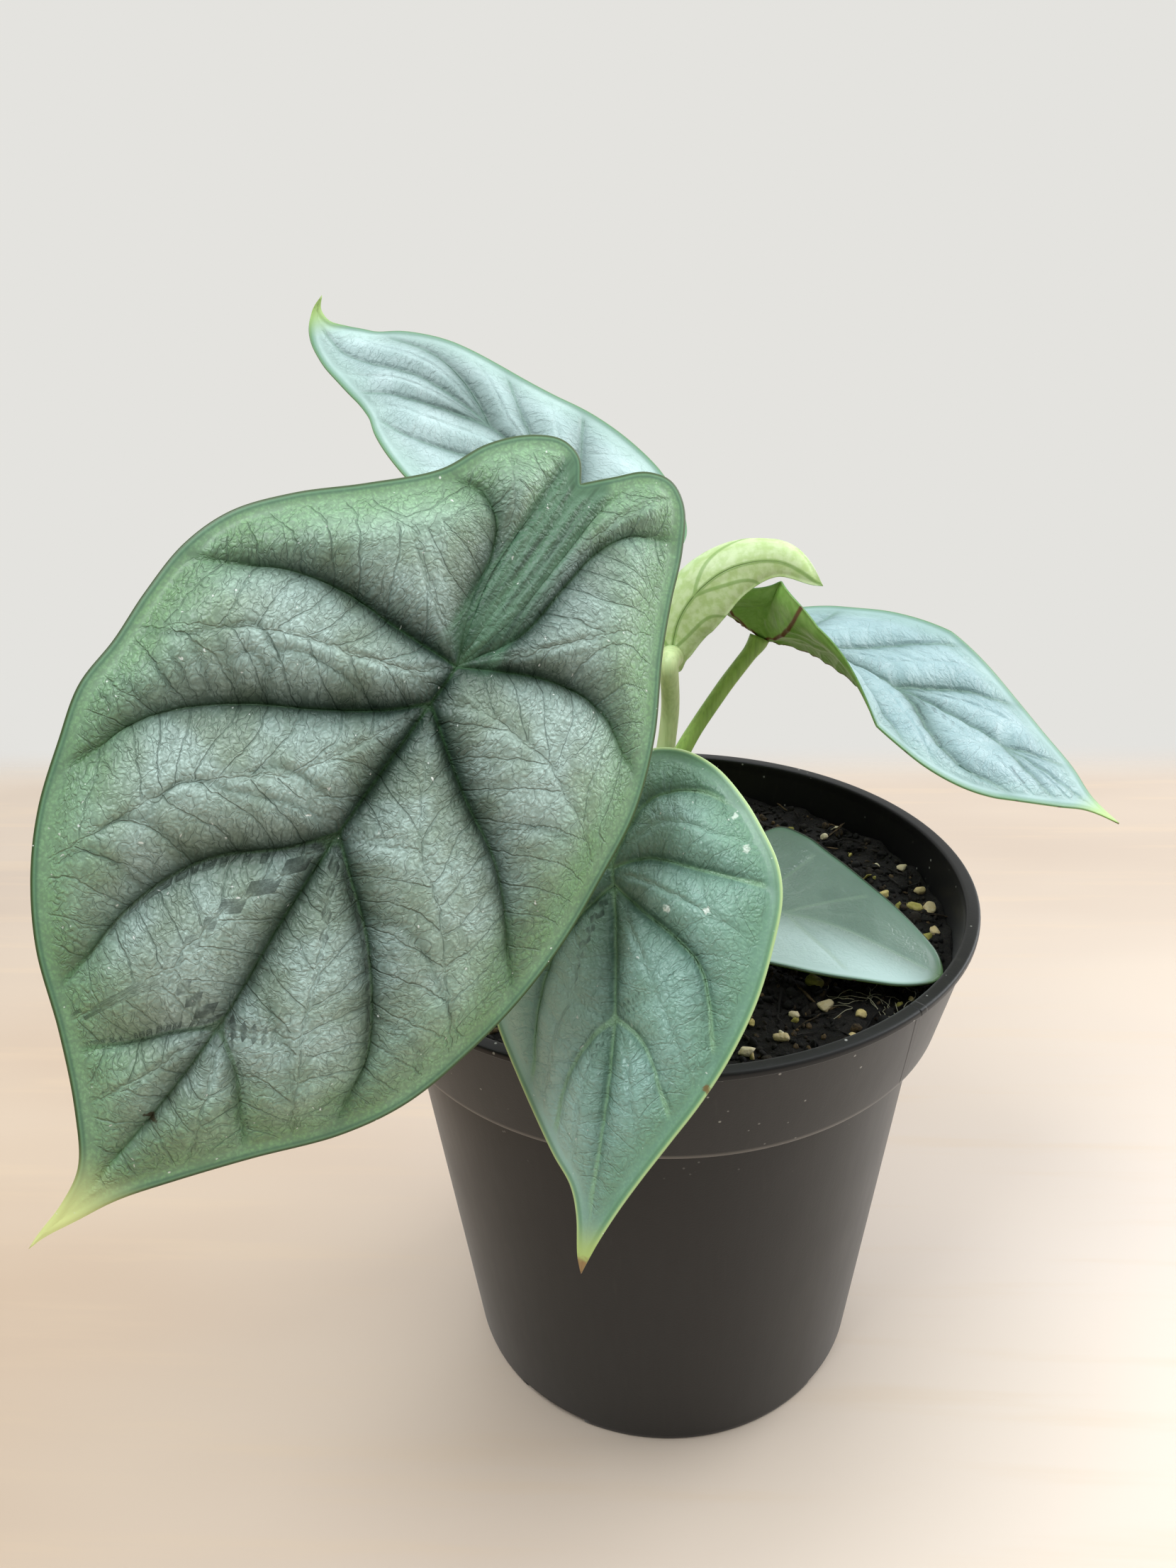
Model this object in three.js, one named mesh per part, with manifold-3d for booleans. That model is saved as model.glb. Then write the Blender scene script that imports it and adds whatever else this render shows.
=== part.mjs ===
// A young silver dragon alocasia in a black nursery pot.
// Millimetres, +Z up, origin at the middle of the pot's foot. The plant's front faces -Y.
import * as THREE from 'three';
import { mergeVertices } from 'three/addons/utils/BufferGeometryUtils.js';
import Module from 'manifold-3d';

const wasm = await Module();
wasm.setup();

// Pot: a thin moulded nursery pot, 12 cm across its rim, with a collar round its top.
const pot = {
  rimRadius: 60, height: 107.2, wall: 1.1,
  lipWidth: 2.6, lipHeight: 1.4, lipRound: 0.6,
  collarHeight: 21.2, collarFootRadius: 54.6, stepHeight: 3,
  bodyTopRadius: 51.2, baseRadius: 42.1, edge: 0.4,
  footHeight: 2, footWidth: 5, padRadius: 12, floor: 1.4, cornerRadius: 2.5,
  holeCount: 8, holeRadius: 4, holeCircle: 27, holeSides: 12,
  notchCount: 4, notchWidth: 15, notchHeight: 1.4, notchAngle: -0.57,
  segments: 48,
};

// Potting mix: peat with perlite, its top a little below the rim.
const mix = {
  level: 98.8, highest: 100.4, gap: 0.3, edgeGap: 0.6,
  rings: 9, sectors: 40, waveHeight: 0.4, mound: 0.4, moundRadius: 22,
  perliteCount: 30, perliteRadius: 1.9, seed: 17,
};

// Stem base: the short corm that all stalks rise from, with its main roots.
const crown = {
  centre: [-5, 4], top: 100.4, radius: 9.5, depth: 26, sides: 18,
  rootCount: 5, rootDepth: 14, rootDrop: 38, rootReach: 22, rootRadius: 1.4, rootEndRadius: 0.8, seed: 11,
};

const bladeThickness = 0.8;
const seatGap = 0.3; // between touching pieces
const stalkSides = 9;
const stalkSteps = 12;
const marginStep = 7.5; // spacing of the blade's mesh columns along its margin
const rowPlaces = [0, 0.06, 0.15, 0.28, 0.43, 0.58, 0.73, 0.87, 0.95, 1];

// Each leaf is drawn flat first: u runs along the midrib from the stalk (0) to the tip, v across it.
// left and right are its margins from the basal notch to the tip; ribs are pairs of side veins, each pair
// leaving the midrib at one place and ending on the margins. spine then bends it in space: at each
// station the midrib passes through at, the upper face looks along face, and cup curls the two halves
// (1/mm, negative lifts the sides).
const leaves = {
  large: {
    midrib: [[0, 0], [26, -1.1], [40, -2.3], [55, -4.2], [75, -4.4], [92.3, -2.9]],
    notch: [-31.5, 1.8],
    left: [[-34.4, 4.2], [-34.8, 7.5], [-32, 11.5], [-27, 15], [-20, 17.6], [-12, 23.8], [-5, 30],
      [2, 34.6], [9, 36.4], [17, 36.2], [24, 35.4], [31, 35.2], [38, 32.8], [46, 29.6], [53, 25.4],
      [60, 19.4], [67, 10.8], [74, 3.4], [80, -1.4], [85, -2.6], [90, -2.7]],
    right: [[-35.5, -1.2], [-39.5, -4.4], [-41, -8], [-39.4, -11.6], [-34, -15.2], [-27, -18.2],
      [-20, -21.6], [-10, -27.6], [0, -31.6], [10, -33.2], [20, -34.3], [30, -34.2], [40, -32.8],
      [50, -30.2], [58, -25.8], [67, -18.2], [75, -12], [81, -7.8], [86, -5.4], [90, -3.5]],
    ribs: [
      {
        start: 0, depth: 0.5,
        left: [[-10, 3.2], [-18, 4.3], [-25, 4.5], [-31, 5]],
        right: [[-10, -2], [-20, -2.3], [-30, -2.6], [-36, -3.2]],
      },
      {
        start: 0, depth: 1,
        left: [[-9, 4], [-15, 5.4], [-19.5, 8], [-21, 11.5], [-20.4, 15]],
        right: [[-9, -4.2], [-18, -4.9], [-25, -5.6], [-30, -7.8], [-33, -11.5]],
      },
      {
        start: 0, depth: 1,
        left: [[0.9, 9], [1.4, 17], [3.4, 24], [7.5, 30.5]],
        right: [[-3.5, -5.5], [-6.2, -10.5], [-7.7, -16], [-7.2, -21], [-5, -25.5]],
      },
      {
        start: 6, depth: 1,
        left: [[10.5, 4], [15.5, 10.5], [20.5, 18], [26, 24], [31, 27.2], [38, 29.2]],
        right: [[10, -6.2], [13.5, -12], [17, -19], [22, -25], [27, -29.5]],
      },
      {
        start: 26.5, depth: 0.9,
        left: [[32, 3], [38, 9.2], [44, 12.3], [51, 13.8], [57, 13.8]],
        right: [[30, -5.5], [35, -12], [42, -18.3], [48, -22], [54, -23.3]],
      },
      {
        start: 55, depth: 0.6,
        left: [[58, -0.8], [62.5, 3], [66, 6.3]],
        right: [[58.5, -9.5], [62.5, -13.2]],
      },
    ],
    puff: 2.2, groove: 1.1,
    spine: [
      { at: [-4.7, -31.1, 194.2], face: [0.4, -0.76, 0.51], cup: [0.004, 0.004] },
      { at: [-26.5, -55.1, 170.8], face: [0.33, -0.83, 0.44], cup: [0.004, 0.004] },
      { at: [-52.9, -77.3, 142], face: [0.25, -0.9, 0.35], cup: [0.004, 0.004] },
      { at: [-82.2, -94.6, 109.6], face: [0.17, -0.95, 0.26], cup: [0.004, 0.004] },
    ],
    stalk: [[-10, 1.5], [-15, -8, 118], [-22, -24, 142], [-27.4, -43, 161]],
    stalkRadius: [3.2, 2.2],
    bladeColor: 0x6f8474, stalkColor: 0x7d9a5c,
  },
  front: {
    midrib: [[0, 0], [8, -1.2], [20, -1.8], [30, -1.3], [40, 0.3], [50, 2.6], [59.5, 4.4]],
    notch: [-15.5, 0.5],
    left: [[-18, 5], [-18, 9.5], [-15, 15], [-9, 20], [-2, 23.4], [5, 24.6], [12, 23.8], [19, 21.4],
      [25, 18.7], [32, 14.8], [38, 11.4], [43, 8.5], [47, 5.8], [51, 4.9], [57, 4.9]],
    right: [[-18.4, -4], [-18.2, -9.5], [-15.2, -15.2], [-10, -20], [-5, -23.2], [0, -25.6], [5, -26.4],
      [12, -25.3], [20, -23], [28, -19.1], [34, -15.1], [40, -10.2], [45, -6], [50, -2], [55, 1.6],
      [58, 3.5]],
    ribs: [
      {
        start: 0, depth: 0.8,
        left: [[-6, 3], [-9.5, 6], [-11.4, 11], [-11, 16]],
        right: [[-6, -2.6], [-9.5, -4.8], [-11.2, -9], [-11, -14], [-9, -18.5]],
      },
      {
        start: 0.5, depth: 0.9,
        left: [[0.6, 6], [2.6, 12.5], [6, 19]],
        right: [[-0.8, -6], [1, -14], [2.5, -20]],
      },
      {
        start: 3, depth: 1,
        left: [[7.4, 4.4], [12, 8.2], [18.5, 10.6], [25, 11.6], [31, 12]],
        right: [[7, -5.5], [11, -11], [15, -14.8], [20, -16.2], [26, -16.8]],
      },
      {
        start: 22.5, depth: 0.7,
        left: [[25.6, 1.6], [29.6, 4.6], [34, 6.6], [38.5, 7.8]],
        right: [[25, -5.5], [28.5, -7.8], [33, -9.2]],
      },
    ],
    puff: 1.5, groove: 0.8,
    spine: [
      { at: [-5.5, -32.4, 147.8], face: [-0.39, -0.56, 0.73], cup: [0.006, 0.006] },
      { at: [-7.2, -45.2, 135.3], face: [-0.4, -0.66, 0.63], cup: [0.006, 0.006] },
      { at: [-8.3, -63.6, 111.7], face: [-0.41, -0.75, 0.51], cup: [0.006, 0.006] },
      { at: [-7.6, -78.5, 86.3], face: [-0.41, -0.83, 0.39], cup: [0.006, 0.006] },
    ],
    stalk: [[-4, -2.5], [-3, -9, 109], [-3, -24, 120], [-4.4, -37.5, 129]],
    stalkRadius: [2.6, 1.8],
    bladeColor: 0x84a590, stalkColor: 0x7d9a5c,
  },
  back: {
    midrib: [[0, 0], [22, 0], [45, -1], [71, 0]],
    notch: [-12.5, 0],
    left: [[-15, 2], [-17.4, 5], [-17.4, 9], [-14, 14.6], [-8, 18.2], [-1, 20.4], [6, 20.8], [14, 19.8],
      [22, 17.6], [30, 15.3], [38, 13.4], [46, 11.9], [54, 10.5], [60, 8.2], [63.8, 4.8], [65.6, 2],
      [68, 0.9]],
    right: [[-16, -2.5], [-18.6, -6.5], [-17.2, -11], [-12, -16.5], [-5, -21], [3, -24.5], [11, -26.2],
      [20, -26.2], [28, -25.4], [36, -21.8], [44, -17], [51, -12], [57, -8], [62, -5], [65, -2.8],
      [67.8, -1]],
    ribs: [
      {
        start: 0, depth: 0.8,
        left: [[-6, 3.5], [-10, 8], [-11, 12.5]],
        right: [[-6, -3.5], [-10, -8], [-11.5, -13]],
      },
      { start: 2, depth: 0.9, left: [[7, 7], [12, 14]], right: [[7, -8], [11, -15], [14, -21]] },
      {
        start: 8, depth: 0.8,
        left: [[16, 4], [24, 8.4], [30.5, 12.6]],
        right: [[16, -6], [24, -13.4], [31, -17.6], [38, -18.4]],
      },
      {
        start: 24, depth: 0.9,
        left: [[31, 3], [38, 5.6], [45, 7.4], [52, 8.6]],
        right: [[31, -4.4], [39, -8.4], [47, -9.8]],
      },
    ],
    puff: 1.5, groove: 0.8,
    spine: [
      { at: [-3.7, 9.5, 165.7], face: [0.4, -0.45, 0.8], cup: [-0.012, -0.012] },
      { at: [-14.5, 22, 174.7], face: [0.4, -0.5, 0.76], cup: [-0.01, -0.01] },
      { at: [-30, 30, 186.9], face: [0.4, -0.5, 0.76], cup: [-0.006, -0.006] },
      { at: [-45, 37.2, 197], face: [0.4, -0.5, 0.76], cup: [-0.006, -0.006] },
      { at: [-61.3, 40.6, 201.8], face: [0.4, -0.5, 0.76], cup: [-0.006, -0.006] },
      { at: [-66.4, 43.6, 208.9], face: [0.4, -0.5, 0.76], cup: [-0.006, -0.006] },
      { at: [-65, 44.2, 212.2], face: [0.4, -0.5, 0.76], cup: [0, 0] },
    ],
    stalk: [[-8, 10], [-13.6, 17.5, 125], [-17, 24, 158]],
    stalkRadius: [2.8, 1.9],
    bladeColor: 0x9fbdb2, stalkColor: 0x7d9a5c,
  },
  right: {
    midrib: [[0, 0], [30, 0], [48, -1], [66, 0.5], [72.6, 0.5]],
    notch: [-12.5, 0],
    left: [[-15, 2.5], [-17.5, 6.5], [-15.5, 11], [-10, 15.2], [-2, 18.6], [6, 21.8], [15, 24], [25, 24.5],
      [34, 22.7], [42, 20.8], [50, 17.5], [58, 12], [63.5, 7.4], [67, 3.1], [69.5, 1.5]],
    right: [[-15.5, -2.5], [-18, -6.5], [-17, -11], [-11, -17], [-4, -21], [4, -24], [12, -25.5],
      [20, -27], [28, -26.4], [36, -23.6], [44, -19.4], [52, -14.6], [60, -9], [66, -2.9], [69.5, -0.8]],
    ribs: [
      {
        start: 0, depth: 0.7,
        left: [[-5, 4], [-8.5, 9], [-9, 15]],
        right: [[-5, -4], [-8.5, -9], [-9, -15]],
      },
      {
        start: 1, depth: 0.8,
        left: [[3.6, 6], [5.6, 12], [7, 17.6]],
        right: [[4, -7], [7.4, -14], [10, -20.5]],
      },
      {
        start: 8, depth: 0.8,
        left: [[14, 5], [21, 11.4], [28, 16.6], [33, 19]],
        right: [[14, -5.6], [20.6, -12.4], [26.4, -18.6], [30, -21.8]],
      },
      {
        start: 27, depth: 1,
        left: [[31.6, 3.6], [36, 9], [41, 13.3], [47, 14.7], [53, 13]],
        right: [[31.4, -4.6], [37, -11], [43, -15]],
      },
      { start: 49, depth: 0.6, left: [[53, 2], [57, 4], [60.5, 5.8]], right: [[53, -3.4], [57, -6]] },
    ],
    puff: 1.4, groove: 0.8,
    spine: [
      { at: [7, 20, 159], face: [0.45, 0.1, 0.8], cup: [-0.03, -0.02] },
      { at: [19.6, 16.3, 151.2], face: [0.25, 0.35, 0.9], cup: [-0.05, -0.03] },
      { at: [30, 13.2, 148.6], face: [0.1, 0.1, 1], cup: [-0.035, -0.014] },
      { at: [46, 7.2, 142.3], face: [0.2, -0.1, 1], cup: [-0.01, -0.014] },
      { at: [66, -4.8, 132.9], face: [0.4, -0.2, 1], cup: [0.006, -0.006] },
      { at: [79.6, -14.7, 126.4], face: [0.4, -0.2, 1], cup: [0, 0] },
    ],
    stalk: [[-1, 9], [1.6, 11, 122], [9.6, 13.6, 137]],
    stalkRadius: [2.6, 1.5],
    bladeColor: 0x9dbcb2, stalkColor: 0x7fa24f,
  },
  small: {
    midrib: [[0, 0], [20, 0], [42.8, 1.2]],
    notch: [-5, 0],
    left: [[-6.5, 5], [-4, 10], [2, 14], [10, 16], [19, 16], [26, 14.8], [32.3, 12], [36.7, 9.6],
      [39.8, 6.9], [41.8, 4.1]],
    right: [[-7, -4], [-7, -10], [-4, -17], [1, -20.4], [8.1, -19.6], [16.6, -16.1], [23.6, -12.7],
      [30.1, -10.3], [35.5, -7.9], [39.9, -5], [42, -1.6]],
    ribs: [
      { start: 0, depth: 0.3, left: [[-1, 5], [0, 10]], right: [[-1, -5], [-1, -11]] },
      { start: 1, depth: 0.3, left: [[7, 6], [13, 12]], right: [[6, -6], [10, -13]] },
      { start: 12, depth: 0.3, left: [[19, 5], [26, 9.6]], right: [[18, -5], [24, -9.4]] },
    ],
    puff: 0.4, groove: 0.4,
    spine: [
      { at: [7, 0, 105], face: [0, -0.1, 1], cup: [-0.004, -0.03] },
      { at: [13, -4.4, 104.9], face: [0, -0.1, 1], cup: [-0.004, -0.03] },
      { at: [21.2, -9.8, 105.6], face: [0, -0.1, 1], cup: [-0.004, -0.03] },
      { at: [33, -16.6, 106], face: [0.05, -0.1, 1], cup: [-0.004, -0.03] },
      { at: [47.6, -24.2, 102.6], face: [0.25, -0.1, 1], cup: [-0.004, -0.03] },
    ],
    stalk: [[2, 3], [6, 0.4, 102.8], [10, -2.4, 102.2]],
    stalkRadius: [1.5, 1.2],
    bladeColor: 0x8aa596, stalkColor: 0x86a060,
  },
  young: {
    midrib: [[0, 0], [37.2, 0]],
    notch: [-3, 0],
    left: [[-3.6, 2.5], [-2, 6], [2, 9.5], [8, 11.5], [16, 11], [24, 8.6], [30, 5.6], [35, 2.2]],
    right: [[-3.2, -1.2], [-1.6, -2.4], [2, -4.4], [7, -6.2], [13, -6.6], [20, -5.6], [28, -3.6], [35, -1.6]],
    ribs: [
      { start: 1, depth: 0.5, left: [[5, 4], [11, 7.4]], right: [[5, -2.6], [11, -4.6]] },
      { start: 12, depth: 0.5, left: [[17, 3], [23, 5.4]], right: [[17, -2], [23, -3]] },
    ],
    puff: 0.3, groove: 0.3,
    spine: [
      { at: [2.6, 2.1, 149.2], face: [0.1, 0.9, -0.3], cup: [-0.2, -0.15] },
      { at: [2.4, 2.2, 151.9], face: [0.1, 0.9, -0.3], cup: [-0.2, -0.1] },
      { at: [3.8, 2.4, 158.8], face: [0.1, 0.9, -0.3], cup: [-0.2, -0.05] },
      { at: [8.1, 2.6, 164.7], face: [0.1, 0.9, -0.3], cup: [-0.2, -0.04] },
      { at: [13.5, 3, 167.9], face: [0.1, 0.9, -0.3], cup: [-0.22, -0.05] },
      { at: [21.1, 3, 168.6], face: [0.1, 0.9, -0.3], cup: [-0.25, -0.08] },
      { at: [28.4, 1, 164.9], face: [0.1, 0.9, -0.3], cup: [-0.3, -0.1] },
    ],
    stalk: [[-4, 4.5], [-1, 5.2, 118], [2, 3.4, 140]],
    stalkRadius: [2.6, 1.7],
    bladeColor: 0xb9cf8f, stalkColor: 0xb4c98c,
  },
};

const lerp = THREE.MathUtils.lerp;
const smooth = THREE.MathUtils.smoothstep;
const vec = (p) => new THREE.Vector3(p[0], p[1], p[2] ?? 0);

// Points evenly spaced along a smooth curve through hand-placed points.
function smoothLine(points, steps) {
  return new THREE.CatmullRomCurve3(points.map(vec), false, 'centripetal').getSpacedPoints(steps);
}

function pointAlong(line, share) {
  const place = THREE.MathUtils.clamp(share, 0, 1) * (line.length - 1);
  const k = Math.min(Math.floor(place), line.length - 2);
  return line[k].clone().lerp(line[k + 1], place - k);
}

// Nearest point of a polyline: its distance and its share of the way along.
function nearest(line, p) {
  let best = { distance: Infinity, share: 0 };
  for (let k = 0; k < line.length - 1; k += 1) {
    const a = line[k];
    const dx = line[k + 1].x - a.x;
    const dy = line[k + 1].y - a.y;
    const t = THREE.MathUtils.clamp(((p.x - a.x) * dx + (p.y - a.y) * dy) / (dx * dx + dy * dy || 1), 0, 1);
    const distance = Math.hypot(p.x - a.x - t * dx, p.y - a.y - t * dy);
    if (distance < best.distance) best = { distance, share: (k + t) / (line.length - 1) };
  }
  return best;
}

// The bent surface of a leaf: place(u, v, lift) turns flat leaf coordinates into space.
function leafSurface(spine) {
  const perStation = 24;
  const curve = new THREE.CatmullRomCurve3(spine.map((s) => vec(s.at)), false, 'centripetal');
  const count = perStation * (spine.length - 1);
  const stations = [];
  for (let k = 0; k <= count; k += 1) {
    const t = k / count;
    const index = Math.min(Math.floor(k / perStation), spine.length - 2);
    const f = k / perStation - index;
    const tangent = curve.getTangent(t);
    const face = vec(spine[index].face).lerp(vec(spine[index + 1].face), f);
    face.addScaledVector(tangent, -face.dot(tangent)).normalize();
    const across = new THREE.Vector3().crossVectors(tangent, face);
    const cup = [0, 1].map((side) => lerp(spine[index].cup[side], spine[index + 1].cup[side], f));
    stations.push({ at: curve.getPoint(t), tangent, face, across, cup, u: 0 });
  }
  for (let k = 1; k <= count; k += 1) {
    stations[k].u = stations[k - 1].u + stations[k].at.distanceTo(stations[k - 1].at);
  }
  const joint = stations[perStation].u;
  stations.forEach((s) => { s.u -= joint; });
  return (u, v, lift = 0) => {
    let k = stations.findIndex((s) => s.u > u) - 1;
    if (k === -2) k = count - 1;
    k = Math.max(k, 0);
    const a = stations[k];
    const b = stations[k + 1];
    const f = (u - a.u) / (b.u - a.u);
    const inside = THREE.MathUtils.clamp(f, 0, 1);
    const face = a.face.clone().lerp(b.face, inside).normalize();
    const across = a.across.clone().lerp(b.across, inside).normalize();
    const side = v > 0 ? 0 : 1;
    const bend = lerp(a.cup[side], b.cup[side], inside) || 1e-6;
    const angle = bend * v;
    return a.at.clone().lerp(b.at, f)
      .addScaledVector(across, Math.sin(angle) / bend + lift * Math.sin(angle))
      .addScaledVector(face, -(1 - Math.cos(angle)) / bend + lift * Math.cos(angle));
  };
}

// Flat drawing of a leaf: margins, midrib and side veins as polylines, in u and v.
function leafDrawing(leaf) {
  const midrib = smoothLine(leaf.midrib, 80);
  const tip = leaf.midrib[leaf.midrib.length - 1];
  const costa = smoothLine([[0, 0], leaf.notch.map((c) => c / 2), leaf.notch], 20);
  const margins = {};
  const ribs = {};
  for (const side of ['left', 'right']) {
    margins[side] = smoothLine([leaf.notch, ...leaf[side], tip], 240);
    ribs[side] = leaf.ribs.map((rib) => {
      const startShare = rib.start / tip[0];
      const inner = [pointAlong(midrib, startShare), ...rib[side].map(vec)];
      const last = inner[inner.length - 1];
      const heading = last.clone().sub(inner[inner.length - 2]).normalize();
      const reach = nearest(margins[side], last).distance;
      const end = nearest(margins[side], last.clone().addScaledVector(heading, reach));
      const path = [...inner, pointAlong(margins[side], end.share)];
      const line = new THREE.CatmullRomCurve3(path, false, 'centripetal').getSpacedPoints(40);
      return { line, startShare, endShare: end.share, depth: rib.depth };
    });
  }
  return { midrib, costa, margins, ribs };
}

// Relief of the upper face: cushions between sunken veins, flat towards the margin.
function leafRelief(leaf, drawing) {
  const veins = [{ line: drawing.midrib, depth: 1 }, { line: drawing.costa, depth: 0.6 },
    ...drawing.ribs.left, ...drawing.ribs.right];
  return (p) => {
    const { left, right } = drawing.margins;
    const edge = Math.min(nearest(left, p).distance, nearest(right, p).distance);
    let closest = Infinity;
    let sunk = 0;
    for (const vein of veins) {
      const near = nearest(vein.line, p);
      closest = Math.min(closest, near.distance);
      sunk = Math.max(sunk, vein.depth * (1 - 0.7 * near.share) * Math.exp(-((near.distance / 1.6) ** 1.4)));
    }
    const inner = smooth(edge, 1.5, 9);
    return leaf.puff * (1 - Math.exp(-closest / 6)) * inner - leaf.groove * sunk * smooth(edge, 0, 4);
  };
}

// Mesh of the flat leaf as patches between neighbouring veins, so that mesh lines follow the veins.
function leafMesh(drawing) {
  const points = [];
  const faces = [];
  const add = (p) => points.push(p) - 1;
  const rows = rowPlaces.length - 1;
  const lastRib = drawing.ribs.left.length - 1;
  const origin = add(drawing.midrib[0].clone());
  const tip = add(drawing.midrib[drawing.midrib.length - 1].clone());
  const costaColumn = [origin];
  for (let r = 1; r <= rows; r += 1) costaColumn.push(add(pointAlong(drawing.costa, rowPlaces[r])));
  const spineAt = new Map();
  const spinePoint = (share) => {
    const key = share.toFixed(6);
    if (share <= 0) return origin;
    if (!spineAt.has(key)) spineAt.set(key, add(pointAlong(drawing.midrib, share)));
    return spineAt.get(key);
  };
  const starts = [0, ...drawing.ribs.left.map((r) => r.startShare), 1];
  const ends = (side) => [0, ...drawing.ribs[side].map((r) => r.endShare), 1];
  const columnsIn = starts.slice(1).map((_, g) => {
    const length = Math.max(...['left', 'right'].map((side) => {
      const line = drawing.margins[side];
      let sum = 0;
      const from = Math.floor(ends(side)[g] * (line.length - 1));
      const to = Math.floor(ends(side)[g + 1] * (line.length - 1));
      for (let k = from; k < to; k += 1) sum += line[k].distanceTo(line[k + 1]);
      return sum;
    }));
    return Math.max(3, Math.round(length / marginStep));
  });
  for (const side of ['left', 'right']) {
    const radial = (g, t) => {
      if (g === 0) return pointAlong(drawing.costa, t);
      if (g > lastRib + 1) return points[tip];
      return pointAlong(drawing.ribs[side][g - 1].line, t);
    };
    const margin = drawing.margins[side];
    const grid = [costaColumn];
    for (let g = 0; g < starts.length - 1; g += 1) {
      const count = columnsIn[g];
      for (let c = 1; c <= count; c += 1) {
        if (g === lastRib + 1 && c === count) break;
        const even = c / count;
        const f = lerp(even, 0.5 - 0.5 * Math.cos(Math.PI * even), 0.6);
        const share = lerp(starts[g], starts[g + 1], f);
        const endShare = lerp(ends(side)[g], ends(side)[g + 1], f);
        const column = [spinePoint(share)];
        for (let r = 1; r <= rows; r += 1) {
          const t = rowPlaces[r];
          const a = radial(g, t).clone().multiplyScalar(1 - f).addScaledVector(radial(g + 1, t), f);
          const innerEdge = pointAlong(drawing.midrib, share);
          const outerEdge = pointAlong(margin, endShare);
          const innerLine = radial(g, 0).clone().lerp(radial(g + 1, 0), f);
          const outerLine = radial(g, 1).clone().lerp(radial(g + 1, 1), f);
          a.addScaledVector(innerEdge.sub(innerLine), 1 - t).addScaledVector(outerEdge.sub(outerLine), t);
          column.push(add(a));
        }
        grid.push(column);
      }
    }
    grid.push(new Array(rows + 1).fill(tip));
    for (let c = 0; c < grid.length - 1; c += 1) {
      for (let r = 0; r < rows; r += 1) {
        const quad = [grid[c][r], grid[c + 1][r], grid[c + 1][r + 1], grid[c][r + 1]];
        const turn = side === 'left' ? quad : [quad[0], quad[3], quad[2], quad[1]];
        for (const [i, j, k] of [[0, 1, 2], [0, 2, 3]]) {
          const face = [turn[i], turn[j], turn[k]];
          if (new Set(face).size === 3) faces.push(face);
        }
      }
    }
  }
  return { points, faces };
}

function bufferGeometry(points, faces) {
  const geometry = new THREE.BufferGeometry();
  const numbers = points.flatMap((p) => [p.x, p.y, p.z]);
  geometry.setAttribute('position', new THREE.Float32BufferAttribute(numbers, 3));
  geometry.setIndex(faces.flat());
  return geometry;
}

// A sheet thickened both ways along its vertex normals and closed round its margin.
function thickSheet(points, faces, thickness) {
  const normals = points.map(() => new THREE.Vector3());
  const edges = new Map();
  for (const [a, b, c] of faces) {
    const n = points[b].clone().sub(points[a]).cross(points[c].clone().sub(points[a]));
    for (const k of [a, b, c]) normals[k].add(n);
    for (const [i, j] of [[a, b], [b, c], [c, a]]) edges.set(`${i}_${j}`, [i, j]);
  }
  normals.forEach((n) => n.normalize());
  const top = points.map((p, k) => p.clone().addScaledVector(normals[k], thickness / 2));
  const bottom = points.map((p, k) => p.clone().addScaledVector(normals[k], -thickness / 2));
  const shift = points.length;
  const all = [...faces, ...faces.map(([a, b, c]) => [c + shift, b + shift, a + shift])];
  for (const [i, j] of edges.values()) {
    if (!edges.has(`${j}_${i}`)) all.push([j, i, i + shift], [j, i + shift, j + shift]);
  }
  return bufferGeometry([...top, ...bottom], all);
}

// A round tube whose radius changes along a curve, closed by flat ends.
function taperedTube(curve, radiusAt, sides, steps) {
  const points = [];
  const faces = [];
  const frames = curve.computeFrenetFrames(steps, false);
  for (let k = 0; k <= steps; k += 1) {
    const centre = curve.getPointAt(k / steps);
    for (let s = 0; s < sides; s += 1) {
      const angle = (2 * Math.PI * s) / sides;
      points.push(centre.clone()
        .addScaledVector(frames.normals[k], Math.cos(angle) * radiusAt(k / steps))
        .addScaledVector(frames.binormals[k], Math.sin(angle) * radiusAt(k / steps)));
    }
  }
  for (let k = 0; k < steps; k += 1) {
    for (let s = 0; s < sides; s += 1) {
      const a = k * sides + s;
      const b = k * sides + ((s + 1) % sides);
      faces.push([a, b, b + sides], [a, b + sides, a + sides]);
    }
  }
  const first = points.push(curve.getPointAt(0)) - 1;
  const last = points.push(curve.getPointAt(1)) - 1;
  for (let s = 0; s < sides; s += 1) {
    const next = (s + 1) % sides;
    faces.push([first, next, s], [last, steps * sides + s, steps * sides + next]);
  }
  return bufferGeometry(points, faces);
}

function toManifold(geometry) {
  const bare = geometry.clone();
  bare.deleteAttribute('normal');
  bare.deleteAttribute('uv');
  const merged = mergeVertices(bare, 1e-4);
  return new wasm.Manifold(new wasm.Mesh({
    numProp: 3,
    vertProperties: new Float32Array(merged.attributes.position.array),
    triVerts: new Uint32Array(merged.index.array),
  }));
}

function fromManifold(solid) {
  const mesh = solid.getMesh();
  const geometry = new THREE.BufferGeometry();
  geometry.setAttribute('position', new THREE.BufferAttribute(new Float32Array(mesh.vertProperties), 3));
  geometry.setIndex(new THREE.BufferAttribute(new Uint32Array(mesh.triVerts), 1));
  return geometry;
}

// Repeatable random numbers from 0 to 1.
function randomSource(seed) {
  let state = seed;
  return () => {
    state = (state * 16807) % 2147483647;
    return state / 2147483647;
  };
}

// LatheGeometry turned so that its axis is Z.
function turned(profile, segments) {
  const outline = profile.map(([r, z]) => new THREE.Vector2(r, z));
  return new THREE.LatheGeometry(outline, segments).rotateX(Math.PI / 2);
}

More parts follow.
